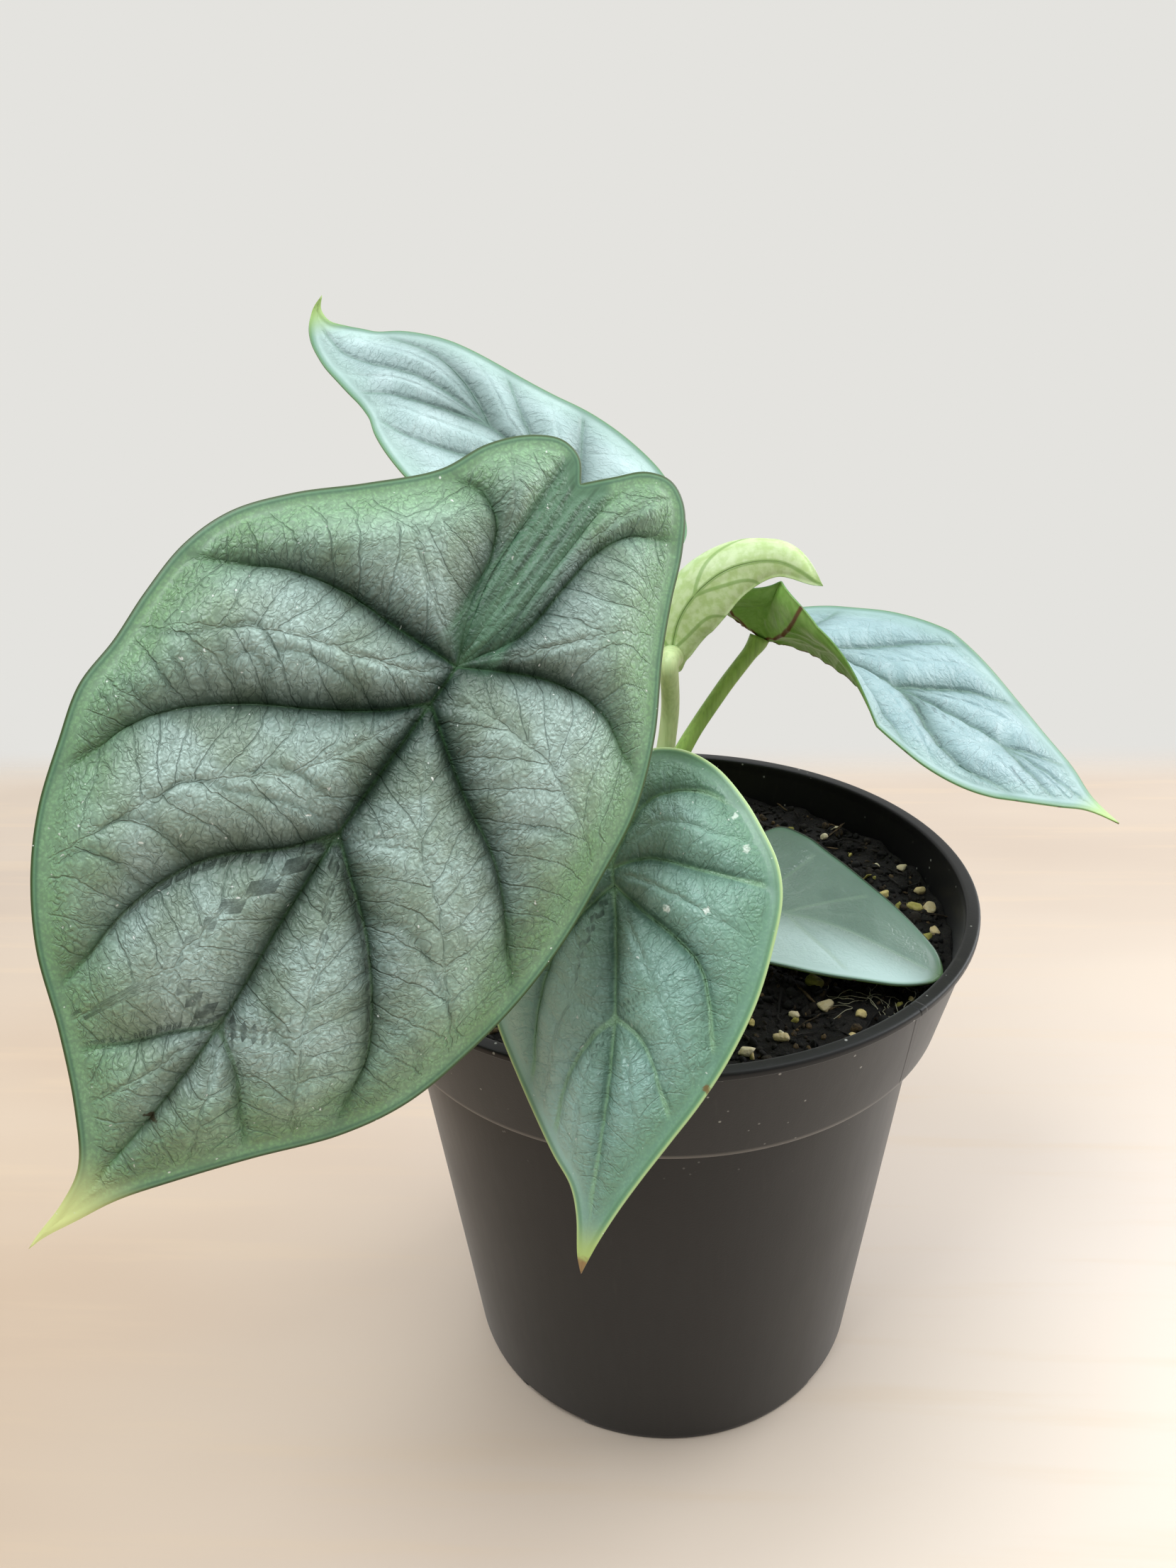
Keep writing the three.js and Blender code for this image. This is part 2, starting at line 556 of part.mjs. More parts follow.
// Outer radius of the pot's wall at a height: body, then collar.
function outerBodyRadius(z) {
  return lerp(pot.baseRadius, pot.bodyTopRadius, z / (pot.height - pot.collarHeight));
}

function outerCollarRadius(z) {
  return lerp(pot.rimRadius, pot.collarFootRadius, (pot.height - z) / pot.collarHeight);
}

// Inner radius of the collar, which is drawn straight from the lip down to the step.
function innerCollarRadius(z) {
  const step = pot.height - pot.collarHeight + pot.stepHeight;
  const stepRadius = outerCollarRadius(step) - pot.wall;
  return lerp(pot.rimRadius - pot.lipWidth, stepRadius, (pot.height - z) / (pot.height - step));
}

function makePot() {
  const { rimRadius, height, wall, lipRound, edge, footHeight } = pot;
  const collarFoot = height - pot.collarHeight;
  const lipFoot = height - pot.lipHeight;
  const lipInner = rimRadius - pot.lipWidth;
  const footInner = pot.baseRadius - pot.footWidth;
  const step = collarFoot + pot.stepHeight;
  const inside = footHeight + pot.floor;
  const corner = inside + pot.cornerRadius;
  const profile = [
    [0, 0], [pot.padRadius, 0], [pot.padRadius + 1, footHeight], [footInner - 1, footHeight], [footInner, 0],
    [pot.baseRadius - 1, 0], [pot.baseRadius, 1],
    [outerBodyRadius(collarFoot) - edge, collarFoot - edge], [pot.collarFootRadius - edge, collarFoot],
    [pot.collarFootRadius, collarFoot + edge], [outerCollarRadius(lipFoot) - edge, lipFoot - edge],
    [rimRadius, lipFoot], [rimRadius, height - lipRound], [rimRadius - lipRound, height],
    [lipInner + lipRound, height], [lipInner, height - lipRound],
    [innerCollarRadius(step + edge), step + edge], [outerBodyRadius(step) - wall + edge, step - 1],
    [outerBodyRadius(corner) - wall, corner], [outerBodyRadius(inside) - wall - pot.cornerRadius, inside],
    [0, inside],
  ];
  let solid = toManifold(turned(profile, pot.segments));
  for (let k = 0; k < pot.holeCount; k += 1) {
    const angle = (2 * Math.PI * (k + 0.5)) / pot.holeCount;
    const hole = new THREE.CylinderGeometry(pot.holeRadius, pot.holeRadius, 3 * inside, pot.holeSides);
    hole.rotateX(Math.PI / 2).translate(pot.holeCircle, 0, 0).rotateZ(angle);
    solid = solid.subtract(toManifold(hole));
  }
  for (let k = 0; k < pot.notchCount; k += 1) {
    const notch = new THREE.BoxGeometry(2 * pot.footWidth + 4, pot.notchWidth, 2 * pot.notchHeight);
    notch.translate(pot.baseRadius - 1, 0, 0).rotateZ((2 * Math.PI * k) / pot.notchCount + pot.notchAngle);
    solid = solid.subtract(toManifold(notch));
  }
  return fromManifold(solid);
}

// The corm with its roots. grown is how much wider the hole in the mix is, and above how far it runs up.
function crownSolid(grown, above) {
  const [x, y] = crown.centre;
  const r = crown.radius + grown;
  const bottom = crown.top - crown.depth - grown;
  const top = crown.top + above;
  const profile = [[0, bottom], [0.45 * r, bottom + 1.5], [0.8 * r, bottom + 8], [r, bottom + 17],
    [r, crown.top - 3], [r - 1, crown.top - 0.8], [r - 2.2, top], [0, top]];
  let solid = toManifold(turned(profile, crown.sides).translate(x, y, 0));
  const random = randomSource(crown.seed);
  for (let k = 0; k < crown.rootCount; k += 1) {
    const angle = (2 * Math.PI * (k + 0.3 * random())) / crown.rootCount;
    const drop = crown.rootDrop * lerp(0.75, 1, random());
    const reach = crown.rootReach * lerp(0.55, 1, random());
    const start = crown.top - crown.rootDepth;
    const along = (distance, down) => {
      const turn = angle - 0.006 * down;
      return new THREE.Vector3(x + distance * Math.cos(turn), y + distance * Math.sin(turn), start - down);
    };
    const path = new THREE.CatmullRomCurve3([along(crown.radius / 2, 0), along(crown.radius + 3, 5),
      along(reach, drop / 2), along(reach + 3, drop)]);
    const radiusAt = (t) => lerp(crown.rootRadius, crown.rootEndRadius, t) + grown;
    solid = solid.add(toManifold(taperedTube(path, radiusAt, 5, 5)));
  }
  return solid;
}

// Height of the mix at a place: a low mound round the plant and lumps by a sum of waves.
function mixHeight(x, y) {
  const waves = Math.sin(0.42 * x + 1.3 * Math.sin(0.31 * y))
    + Math.sin(0.47 * y + 1.7 * Math.sin(0.27 * x + 1))
    + 0.6 * Math.sin(0.93 * x - 0.71 * y + 2) + 0.5 * Math.sin(0.81 * x + 1.07 * y);
  const away = Math.hypot(x - crown.centre[0], y - crown.centre[1]);
  const mound = mix.mound * Math.exp(-((away / mix.moundRadius) ** 2));
  return Math.min(mix.level + mix.waveHeight * waves + mound, mix.highest);
}

function makeMix() {
  const inside = pot.footHeight + pot.floor + mix.gap;
  const corner = inside + pot.cornerRadius + mix.gap;
  const step = pot.height - pot.collarHeight + pot.stepHeight;
  const shrink = pot.wall + mix.gap + 0.1; // the last tenth makes up for the facets
  const side = [
    [outerBodyRadius(inside) - shrink - pot.cornerRadius, inside],
    [outerBodyRadius(corner) - shrink, corner],
    [outerBodyRadius(step) - shrink, step - 1],
    [innerCollarRadius(step + 2.5) - mix.edgeGap, step + 2.5],
  ];
  const topRadius = innerCollarRadius(mix.level) - mix.edgeGap;
  const points = [];
  const faces = [];
  const ring = (radius, heightAt) => {
    for (let s = 0; s < mix.sectors; s += 1) {
      const angle = (2 * Math.PI * s) / mix.sectors;
      const x = radius * Math.cos(angle);
      const y = radius * Math.sin(angle);
      points.push(new THREE.Vector3(x, y, heightAt(x, y)));
    }
  };
  side.forEach(([radius, height]) => ring(radius, () => height));
  for (let k = mix.rings; k >= 1; k -= 1) ring((topRadius * k) / mix.rings, mixHeight);
  const rings = side.length + mix.rings;
  for (let k = 0; k < rings - 1; k += 1) {
    for (let s = 0; s < mix.sectors; s += 1) {
      const a = k * mix.sectors + s;
      const b = k * mix.sectors + ((s + 1) % mix.sectors);
      faces.push([a, b, b + mix.sectors], [a, b + mix.sectors, a + mix.sectors]);
    }
  }
  const low = points.push(new THREE.Vector3(0, 0, inside)) - 1;
  const high = points.push(new THREE.Vector3(0, 0, mixHeight(0, 0))) - 1;
  const lastRing = (rings - 1) * mix.sectors;
  for (let s = 0; s < mix.sectors; s += 1) {
    const next = (s + 1) % mix.sectors;
    faces.push([low, next, s], [high, lastRing + s, lastRing + next]);
  }
  let solid = toManifold(bufferGeometry(points, faces));
  const random = randomSource(mix.seed);
  // Each grain sits on a corner of the mix's own mesh, more of them far out than near the middle.
  for (let k = 0; k < mix.perliteCount; k += 1) {
    const distance = (topRadius * Math.ceil((mix.rings - 1) * Math.sqrt(random()))) / mix.rings;
    const angle = (2 * Math.PI * Math.floor(mix.sectors * random())) / mix.sectors;
    const x = distance * Math.cos(angle);
    const y = distance * Math.sin(angle);
    if (Math.hypot(x - crown.centre[0], y - crown.centre[1]) < crown.radius + 2 * mix.perliteRadius) continue;
    const radius = mix.perliteRadius * lerp(0.6, 1.3, random());
    const grain = new THREE.IcosahedronGeometry(radius, 0).scale(1, 0.8, 0.75).rotateZ(6 * random());
    solid = solid.add(toManifold(grain.translate(x, y, mixHeight(x, y) + 0.15 * radius)));
  }
  return fromManifold(solid.subtract(crownSolid(mix.gap, 8)));
}

function makeBlade(leaf) {
  const drawing = leafDrawing(leaf);
  const relief = leafRelief(leaf, drawing);
  const place = leafSurface(leaf.spine);
  const flat = leafMesh(drawing);
  const points = flat.points.map((p) => place(p.x, p.y, relief(p)));
  return thickSheet(points, flat.faces, bladeThickness);
}

// A stalk from its seat on the corm to the underside of its blade, where it widens a little.
function makeStalk(leaf) {
  const place = leafSurface(leaf.spine);
  const underside = -leaf.groove - bladeThickness / 2;
  const [foot, ...middle] = leaf.stalk;
  const [low, high] = leaf.stalkRadius;
  const seat = new THREE.Vector3(foot[0], foot[1], crown.top + seatGap);
  const path = new THREE.CatmullRomCurve3([seat, seat.clone().setZ(seat.z + 3), ...middle.map(vec),
    place(0, 0, underside - 4), place(0, 0, underside - seatGap - 0.1)]);
  const radiusAt = (t) => lerp(low, high, Math.min(1, 1.6 * t)) + 0.5 * smooth(t, 0.93, 1);
  return taperedTube(path, radiusAt, stalkSides, stalkSteps);
}

const plant = new THREE.Group();

function addPiece(name, geometry, color, roughness) {
  const mesh = new THREE.Mesh(geometry, new THREE.MeshStandardMaterial({ color, roughness, metalness: 0 }));
  mesh.name = name;
  plant.add(mesh);
}

addPiece('nursery_pot', makePot(), 0x17181a, 0.45);
addPiece('potting_mix', makeMix(), 0x1c1815, 1);
addPiece('stem_base', fromManifold(crownSolid(0, 0)), 0x8a9a5b, 0.7);
for (const [name, leaf] of Object.entries(leaves)) {
  addPiece(`${name}_leaf_blade`, makeBlade(leaf), leaf.bladeColor, 0.55);
  addPiece(`${name}_leaf_stalk`, makeStalk(leaf), leaf.stalkColor, 0.6);
}

export default plant;
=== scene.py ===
import math

import bpy
import numpy as np
from mathutils import Matrix, Vector


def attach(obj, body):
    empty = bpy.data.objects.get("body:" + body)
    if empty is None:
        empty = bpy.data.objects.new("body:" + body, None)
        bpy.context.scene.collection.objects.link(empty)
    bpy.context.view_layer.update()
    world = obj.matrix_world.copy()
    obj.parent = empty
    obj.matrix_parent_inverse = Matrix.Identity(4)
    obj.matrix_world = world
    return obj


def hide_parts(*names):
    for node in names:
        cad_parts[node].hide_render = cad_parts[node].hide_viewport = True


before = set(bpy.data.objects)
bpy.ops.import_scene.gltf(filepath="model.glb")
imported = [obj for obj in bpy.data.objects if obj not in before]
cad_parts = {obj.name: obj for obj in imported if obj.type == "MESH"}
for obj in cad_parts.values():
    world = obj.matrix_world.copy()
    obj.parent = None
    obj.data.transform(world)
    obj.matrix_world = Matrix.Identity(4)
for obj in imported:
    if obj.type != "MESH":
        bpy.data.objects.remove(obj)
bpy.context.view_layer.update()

mm = 0.001

# Pieces are worked out in millimetres and turned into metres when their mesh is made.


def srgb(red, green, blue):
    def linear(value):
        value /= 255
        return value / 12.92 if value <= 0.04045 else ((value + 0.055) / 1.055) ** 2.4
    return (linear(red), linear(green), linear(blue), 1.0)


def unit(v):
    v = np.asarray(v, float)
    return v / np.maximum(np.linalg.norm(v, axis=-1, keepdims=True), 1e-12)


def smoothStep(x, low, high):
    t = np.clip((x - low) / (high - low), 0, 1)
    return t * t * (3 - 2 * t)


# Shader maths as plain expressions: a Value is one output socket in a material's tree.
class Value:
    def __init__(self, shader, socket):
        self.shader = shader
        self.socket = socket

    def math(self, operation, *others):
        return self.shader.node("ShaderNodeMath", {"operation": operation}, (self, *others))

    def __add__(self, other):
        return self.math("ADD", other)

    __radd__ = __add__

    def __sub__(self, other):
        return self.math("SUBTRACT", other)

    def __rsub__(self, other):
        return self.shader.node("ShaderNodeMath", {"operation": "SUBTRACT"}, (other, self))

    def __mul__(self, other):
        return self.math("MULTIPLY", other)

    __rmul__ = __mul__

    def __truediv__(self, other):
        return self.math("DIVIDE", other)

    def between(self, low, high):
        # 0 below low, 1 above high, smooth in between
        inputs = {"Value": self, "From Min": low, "From Max": high}
        return self.shader.node("ShaderNodeMapRange", {"interpolation_type": "SMOOTHSTEP"}, inputs)

    def near(self, centre, width):
        # 1 at centre, 0 from width away
        return ((self - centre) / width).math("ABSOLUTE").between(1.0, 0.0)

    def scaled(self, x, y, z):
        return self.shader.node("ShaderNodeVectorMath", {"operation": "MULTIPLY"}, (self, (x, y, z)))

    def moved(self, other):
        return self.shader.node("ShaderNodeVectorMath", {"operation": "ADD"}, (self, other))


class Shader:
    def __init__(self, name, owners=bpy.data.materials, surface="Principled BSDF", **constants):
        self.material = owners.new(name)
        self.material.use_nodes = True
        self.tree = self.material.node_tree
        self.surface = self.tree.nodes[surface]
        for socket, value in constants.items():
            self.surface.inputs[socket.replace("_", " ")].default_value = value

    def node(self, kind, settings=None, inputs=None, output=0):
        made = self.tree.nodes.new(kind)
        for key, value in (settings or {}).items():
            if key == "stops":
                self.fillRamp(made.color_ramp, value)
            else:
                setattr(made, key, value)
        pairs = inputs.items() if isinstance(inputs, dict) else enumerate(inputs or ())
        for key, value in pairs:
            if isinstance(value, Value):
                self.tree.links.new(value.socket, made.inputs[key])
            else:
                made.inputs[key].default_value = value
        return Value(self, made.outputs[output])

    def fillRamp(self, ramp, stops):
        while len(ramp.elements) < len(stops):
            ramp.elements.new(0.5)
        for element, (place, color) in zip(ramp.elements, stops):
            element.position = place
            element.color = color

    def attribute(self, name, output="Fac"):
        return self.node("ShaderNodeAttribute", {"attribute_name": name}, output=output)

    def place(self):
        return self.node("ShaderNodeTexCoord", output="Object")

    def noise(self, vector, scale, detail=3.0, roughness=0.55, output="Fac"):
        inputs = {"Vector": vector, "Scale": scale, "Detail": detail, "Roughness": roughness}
        return self.node("ShaderNodeTexNoise", None, inputs, output)

    def cells(self, vector, scale, output="Distance"):
        return self.node("ShaderNodeTexVoronoi", None, {"Vector": vector, "Scale": scale}, output)

    def axis(self, vector, which):
        return self.node("ShaderNodeSeparateXYZ", None, (vector,), "XYZ".index(which))

    def mix(self, share, first, second):
        # sockets 6 and 7 are the two colours
        return self.node("ShaderNodeMix", {"data_type": "RGBA"}, {0: share, 6: first, 7: second}, output=2)

    def feed(self, socket, value):
        self.tree.links.new(value.socket, self.surface.inputs[socket])

    def bump(self, height):
        # height is in millimetres
        self.feed("Normal", self.node("ShaderNodeBump", None, {"Height": height, "Distance": mm}))


def meshPiece(name, points, faces, material, attributes=None):
    mesh = bpy.data.meshes.new(name)
    mesh.from_pydata((np.asarray(points, float) * mm).tolist(), [], np.asarray(faces).tolist())
    for key, values in (attributes or {}).items():
        values = np.asarray(values, np.float32)
        kind, field = ("FLOAT", "value") if values.ndim == 1 else ("FLOAT_VECTOR", "vector")
        mesh.attributes.new(key, kind, "POINT").data.foreach_set(field, values.ravel())
    mesh.shade_smooth()
    mesh.materials.append(material)
    piece = bpy.data.objects.new(name, mesh)
    bpy.context.scene.collection.objects.link(piece)
    return piece


def dress(piece, slot, *nodes):
    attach(piece, "root")
    if nodes:
        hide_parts(*nodes)


# Curves


def smoothCurve(points, steps=24):
    # centripetal Catmull-Rom, its ends reflected
    p = np.asarray(points, float)
    if len(p) == 2:
        t = np.linspace(0, 1, steps + 1)[:, None]
        return p[0] * (1 - t) + p[1] * t
    q = np.vstack([2 * p[0] - p[1], p, 2 * p[-1] - p[-2]])
    parts = []
    for k in range(1, len(q) - 2):
        p0, p1, p2, p3 = q[k - 1:k + 3]
        knots = [0.0]
        for a, b in ((p0, p1), (p1, p2), (p2, p3)):
            knots.append(knots[-1] + max(np.linalg.norm(b - a) ** 0.5, 1e-6))
        t0, t1, t2, t3 = knots
        t = np.linspace(t1, t2, steps, endpoint=False)[:, None]
        a1 = ((t1 - t) * p0 + (t - t0) * p1) / (t1 - t0)
        a2 = ((t2 - t) * p1 + (t - t1) * p2) / (t2 - t1)
        a3 = ((t3 - t) * p2 + (t - t2) * p3) / (t3 - t2)
        b1 = ((t2 - t) * a1 + (t - t0) * a2) / (t2 - t0)
        b2 = ((t3 - t) * a2 + (t - t1) * a3) / (t3 - t1)
        parts.append(((t2 - t) * b1 + (t - t1) * b2) / (t2 - t1))
    return np.vstack([*parts, p[-1:]])


def lengths(line):
    return np.r_[0, np.cumsum(np.linalg.norm(np.diff(line, axis=0), axis=1))]


def evenly(line, count):
    s = lengths(line)
    t = np.linspace(0, s[-1], count)
    return np.stack([np.interp(t, s, line[:, k]) for k in range(line.shape[1])], 1)


def pointAlong(line, share):
    x = np.clip(share, 0, 1) * (len(line) - 1)
    index = np.arange(len(line))
    return np.stack([np.interp(x, index, line[:, k]) for k in range(line.shape[1])], -1)


def nearest(line, points):
    # distance, share of the way along, and side of the nearest point of a polyline
    start, step = line[:-1], np.diff(line, axis=0)
    square = np.maximum((step ** 2).sum(1), 1e-12)
    distance, share, side = [], [], []
    for chunk in np.array_split(points, max(1, len(points) // 4000)):
        offset = chunk[:, None, :] - start[None]
        t = np.clip((offset * step).sum(2) / square, 0, 1)
        gap = offset - t[..., None] * step
        far = (gap ** 2).sum(2)
        best = far.argmin(1)
        row = np.arange(len(chunk))
        distance.append(np.sqrt(far[row, best]))
        share.append((best + t[row, best]) / (len(line) - 1))
        side.append(np.sign(step[best, 0] * gap[row, best, 1] - step[best, 1] * gap[row, best, 0]))
    return np.concatenate(distance), np.concatenate(share), np.concatenate(side)


def ringFaces(rings, sides):
    # faces between stacked rings of points; the last two points close the first and the last ring
    low, high, last = rings * sides, rings * sides + 1, (rings - 1) * sides
    faces = []
    for s in range(sides):
        after = (s + 1) % sides
        faces += [(low, after, s), (high, last + s, last + after)]
        for k in range(rings - 1):
            a, b = k * sides + s, k * sides + after
            faces += [(a, b, b + sides), (a, b + sides, a + sides)]
    return np.array(faces)


def tube(path, radii, sides):
    # closed round tube along a path; its frames are carried along without twisting
    path = np.asarray(path, float)
    tangent = unit(np.gradient(path, axis=0))
    normal = unit(np.cross(tangent[0], [0.3, 1, 0.2]))
    rings = []
    angles = np.linspace(0, 2 * math.pi, sides, endpoint=False)
    for k in range(len(path)):
        normal = unit(normal - normal.dot(tangent[k]) * tangent[k])
        other = np.cross(tangent[k], normal)
        ring = np.cos(angles)[:, None] * normal + np.sin(angles)[:, None] * other
        rings.append(path[k] + radii[k] * ring)
    points = np.vstack([*rings, path[:1], path[-1:]])
    along = np.r_[np.repeat(lengths(path) / lengths(path)[-1], sides), 0, 1]
    return points, ringFaces(len(path), sides), along


# Leaves. Each is drawn flat first: u runs along the midrib from the stalk (0) to the tip, v across it.
# left and right are its margins from the basal notch to the tip; ribs are pairs of side veins; creases are
# the smaller veins. spine then bends it in space. Each of its stations is a place on the midrib, the way
# the upper face looks there, and the curl of the left and right half (1/mm, negative lifts the sides).

# marginRows and midribRows are how far the mesh's closest rows lie from the margin and the midrib
blade = {
    "thickness": 0.7, "edgeThickness": 0.3, "taper": 2.5, "beadHeight": 0.14, "beadWidth": 0.5,
    "marginRows": (0, 0.2, 0.45, 0.8, 1.3, 2.0, 2.8), "midribRows": (0, 0.3, 0.65, 1.1, 1.7),
    "midribFade": 0.85, "ribFade": 0.7, "costaDepth": 0.6, "ridgeHeight": 0.6,
}


# what the finish reads at each point: its distance in mm from the margin, the nearest vein and the costa
# (the midrib between joint and notch), how deep in a valley or crease it lies, and for the smaller veins
# how it lies between the large ones
skinFields = ("edge", "vein", "valley", "crease", "gap", "fold", "seam", "costa")


def drawLeaf(leaf):
    midrib = evenly(smoothCurve(leaf["midrib"]), 81)
    tip = leaf["midrib"][-1]
    notch = np.array(leaf["notch"])
    costa = evenly(smoothCurve([(0, 0), notch / 2, notch]), 21)
    drawing = {"midrib": midrib, "costa": costa}
    for side in ("left", "right"):
        margin = evenly(smoothCurve([notch, *leaf[side], tip]), 241)
        ribs = []
        for rib in leaf["ribs"]:
            startShare = rib["start"] / tip[0]
            inner = [pointAlong(midrib, startShare), *rib[side]]
            heading = unit(np.subtract(inner[-1], inner[-2]))
            reach = nearest(margin, np.array([inner[-1]]))[0]
            endShare = nearest(margin, np.array([inner[-1] + heading * reach]))[1][0]
            line = evenly(smoothCurve([*inner, pointAlong(margin, endShare)]), 41)
            ribs.append({"line": line, "start": startShare, "end": endShare, "depth": rib["depth"]})
        drawing[side] = {"margin": margin, "ribs": ribs}
    return drawing


def leafGrid(leaf, drawing):
    # mesh of the flat leaf: patches between neighbouring veins, with close rows at midrib and margin
    rows = leaf["rows"]
    even = np.linspace(0, 1, rows + 1)
    points, faces = [], []
    starts = [0, *(rib["start"] for rib in drawing["left"]["ribs"]), 1]
    ends = {side: [0, *(rib["end"] for rib in drawing[side]["ribs"]), 1] for side in ("left", "right")}
    base = 0
    for side in ("left", "right"):
        margin, ribs = drawing[side]["margin"], drawing[side]["ribs"]
        lines = [drawing["costa"], *(rib["line"] for rib in ribs), drawing["midrib"][-1:].repeat(2, 0)]
        marginLength = lengths(margin)[-1]
        columns = []
        for g in range(len(starts) - 1):
            span = marginLength * (ends[side][g + 1] - ends[side][g])
            count = max(4, round(span / leaf["spacing"]))
            for f in np.arange(0 if g == 0 else 1, count + 1) / count:
                share = starts[g] + (starts[g + 1] - starts[g]) * f
                end = ends[side][g] + (ends[side][g + 1] - ends[side][g]) * f
                inner, outer = pointAlong(drawing["midrib"], share), pointAlong(margin, end)
                reach = np.linalg.norm(outer - inner)
                edge = 1 - np.array(blade["marginRows"])[::-1] / max(reach, 6)
                middle = np.array(blade["midribRows"]) / max(reach, 6)
                spread = np.linspace(middle[-1], edge[0], rows + 3 - len(edge) - len(middle))
                t = np.r_[middle[:-1], spread, edge[1:]]
                wide = smoothStep(reach, 7, 12)
                t = wide * t + (1 - wide) * even
                a = (1 - f) * pointAlong(lines[g], t) + f * pointAlong(lines[g + 1], t)
                innerLine = (1 - f) * lines[g][0] + f * lines[g + 1][0]
                outerLine = (1 - f) * lines[g][-1] + f * lines[g + 1][-1]
                a += np.outer(1 - t, inner - innerLine) + np.outer(t, outer - outerLine)
                columns.append(a)
        grid = np.array(columns)
        index = base + np.arange(grid.shape[0] * grid.shape[1]).reshape(grid.shape[:2])
        quads = np.stack([index[:-1, :-1], index[1:, :-1], index[1:, 1:], index[:-1, 1:]], -1)
        quads = quads.reshape(-1, 4)
        if side == "left":
            quads = quads[:, ::-1]
        faces += [quads[:, [0, 1, 2]], quads[:, [0, 2, 3]]]
        points.append(grid.reshape(-1, 2))
        base += grid.shape[0] * grid.shape[1]
    points, faces = np.vstack(points), np.vstack(faces)
    _, first, back = np.unique(np.round(points, 3), axis=0, return_index=True, return_inverse=True)
    faces = back.ravel()[faces]
    whole = (faces[:, 0] != faces[:, 1]) & (faces[:, 1] != faces[:, 2]) & (faces[:, 2] != faces[:, 0])
    return points[first], faces[whole]


def leafFields(leaf, drawing, flat):
    veins = [(drawing["midrib"], 1.0, blade["midribFade"]),
             (drawing["costa"], blade["costaDepth"], blade["ribFade"])]
    for side in ("left", "right"):
        veins += [(rib["line"], rib["depth"], blade["ribFade"]) for rib in drawing[side]["ribs"]]
    edge = np.minimum(*(nearest(drawing[side]["margin"], flat)[0] for side in ("left", "right")))
    count = len(flat)
    closest, second = np.full(count, 1e3), np.full(count, 1e3)
    soft, sunk, shade, along, fold, owner, rival = (np.zeros(count) for _ in range(7))
    for k, (line, depth, fade) in enumerate(veins):
        distance, share, side = nearest(line, flat)
        here = depth * (1 - fade * share ** 1.6)
        sunk = np.maximum(sunk, here * np.exp(-((distance / leaf["grooveWidth"]) ** 1.4)))
        # shade: how strongly the colour darkens beside each vein, partly the vein's own dark green, partly
        # painted shade in its valley
        shade = np.maximum(shade, here * np.exp(-((distance / leaf["valleyWidth"]) ** 1.15)))
        soft += (distance + 0.05) ** -4
        nearer = distance < closest
        rival = np.where(nearer, owner, np.where(distance < second, k, rival))
        owner = np.where(nearer, k, owner)
        second = np.where(nearer, closest, np.minimum(second, distance))
        here = share * lengths(line)[-1]
        along = np.where(nearer, here + 41 * k + 13 * side, along)
        # the smaller veins leave a main vein nearly square and lean towards the margin
        fold = np.where(nearer, here - 0.25 * distance - 0.03 * distance ** 2 + 7.3 * k + 2.1 * side, fold)
        closest = np.minimum(closest, distance)
    fu, fv = flat.T
    # slow waves, so that the folds don't run in straight rows
    fold += 0.6 * np.sin(0.4 * fu + np.sin(0.31 * fv)) + 0.5 * np.sin(0.37 * fv + np.sin(0.33 * fu))
    gap = second - closest
    seam = np.where(owner < rival, gap, -gap)
    crease = np.zeros(count)
    for path in leaf["creases"]:
        distance, share, _ = nearest(evenly(smoothCurve(path), 30), flat)
        fade = np.minimum(1, 4 * np.minimum(share + 0.15, 1.1 - share))
        crease = np.maximum(crease, fade * np.exp(-((distance / 0.55) ** 1.5)))
    # the costa is a broad smooth ridge
    costa = nearest(drawing["costa"], flat)[0]
    reach = leaf["look"]["costaWidth"]
    ridge = (1 - smoothStep(costa, 0.3 * reach, reach)) * smoothStep(-fu, 2, 7) * leaf["look"]["costaShade"]
    inner = smoothStep(edge, 1.5, 9)
    pillow = leaf["puff"] * (1 - np.exp(-(soft ** -0.25) / leaf["puffReach"]))
    between = np.abs(fold / leaf["foldSpacing"] % 1 - 0.5) * leaf["foldSpacing"]
    pillow += leaf["foldHeight"] * (1 - np.exp(-between / 0.9)) * smoothStep(gap, 0.2, 1.6)
    pillow = pillow * (1 - 0.9 * ridge) + blade["ridgeHeight"] * ridge
    sunk *= 1 - 0.85 * ridge
    bead = blade["beadHeight"] * np.exp(-(((edge - 0.5) / blade["beadWidth"]) ** 2))
    height = pillow * inner - leaf["groove"] * sunk * smoothStep(edge, 0, 4) + bead
    height -= leaf["creaseDepth"] * crease * inner
    return {
        "height": height, "edge": edge, "vein": closest, "valley": shade, "crease": crease,
        "gap": gap, "along": along, "fold": fold / leaf["foldSpacing"], "seam": seam, "costa": costa,
    }


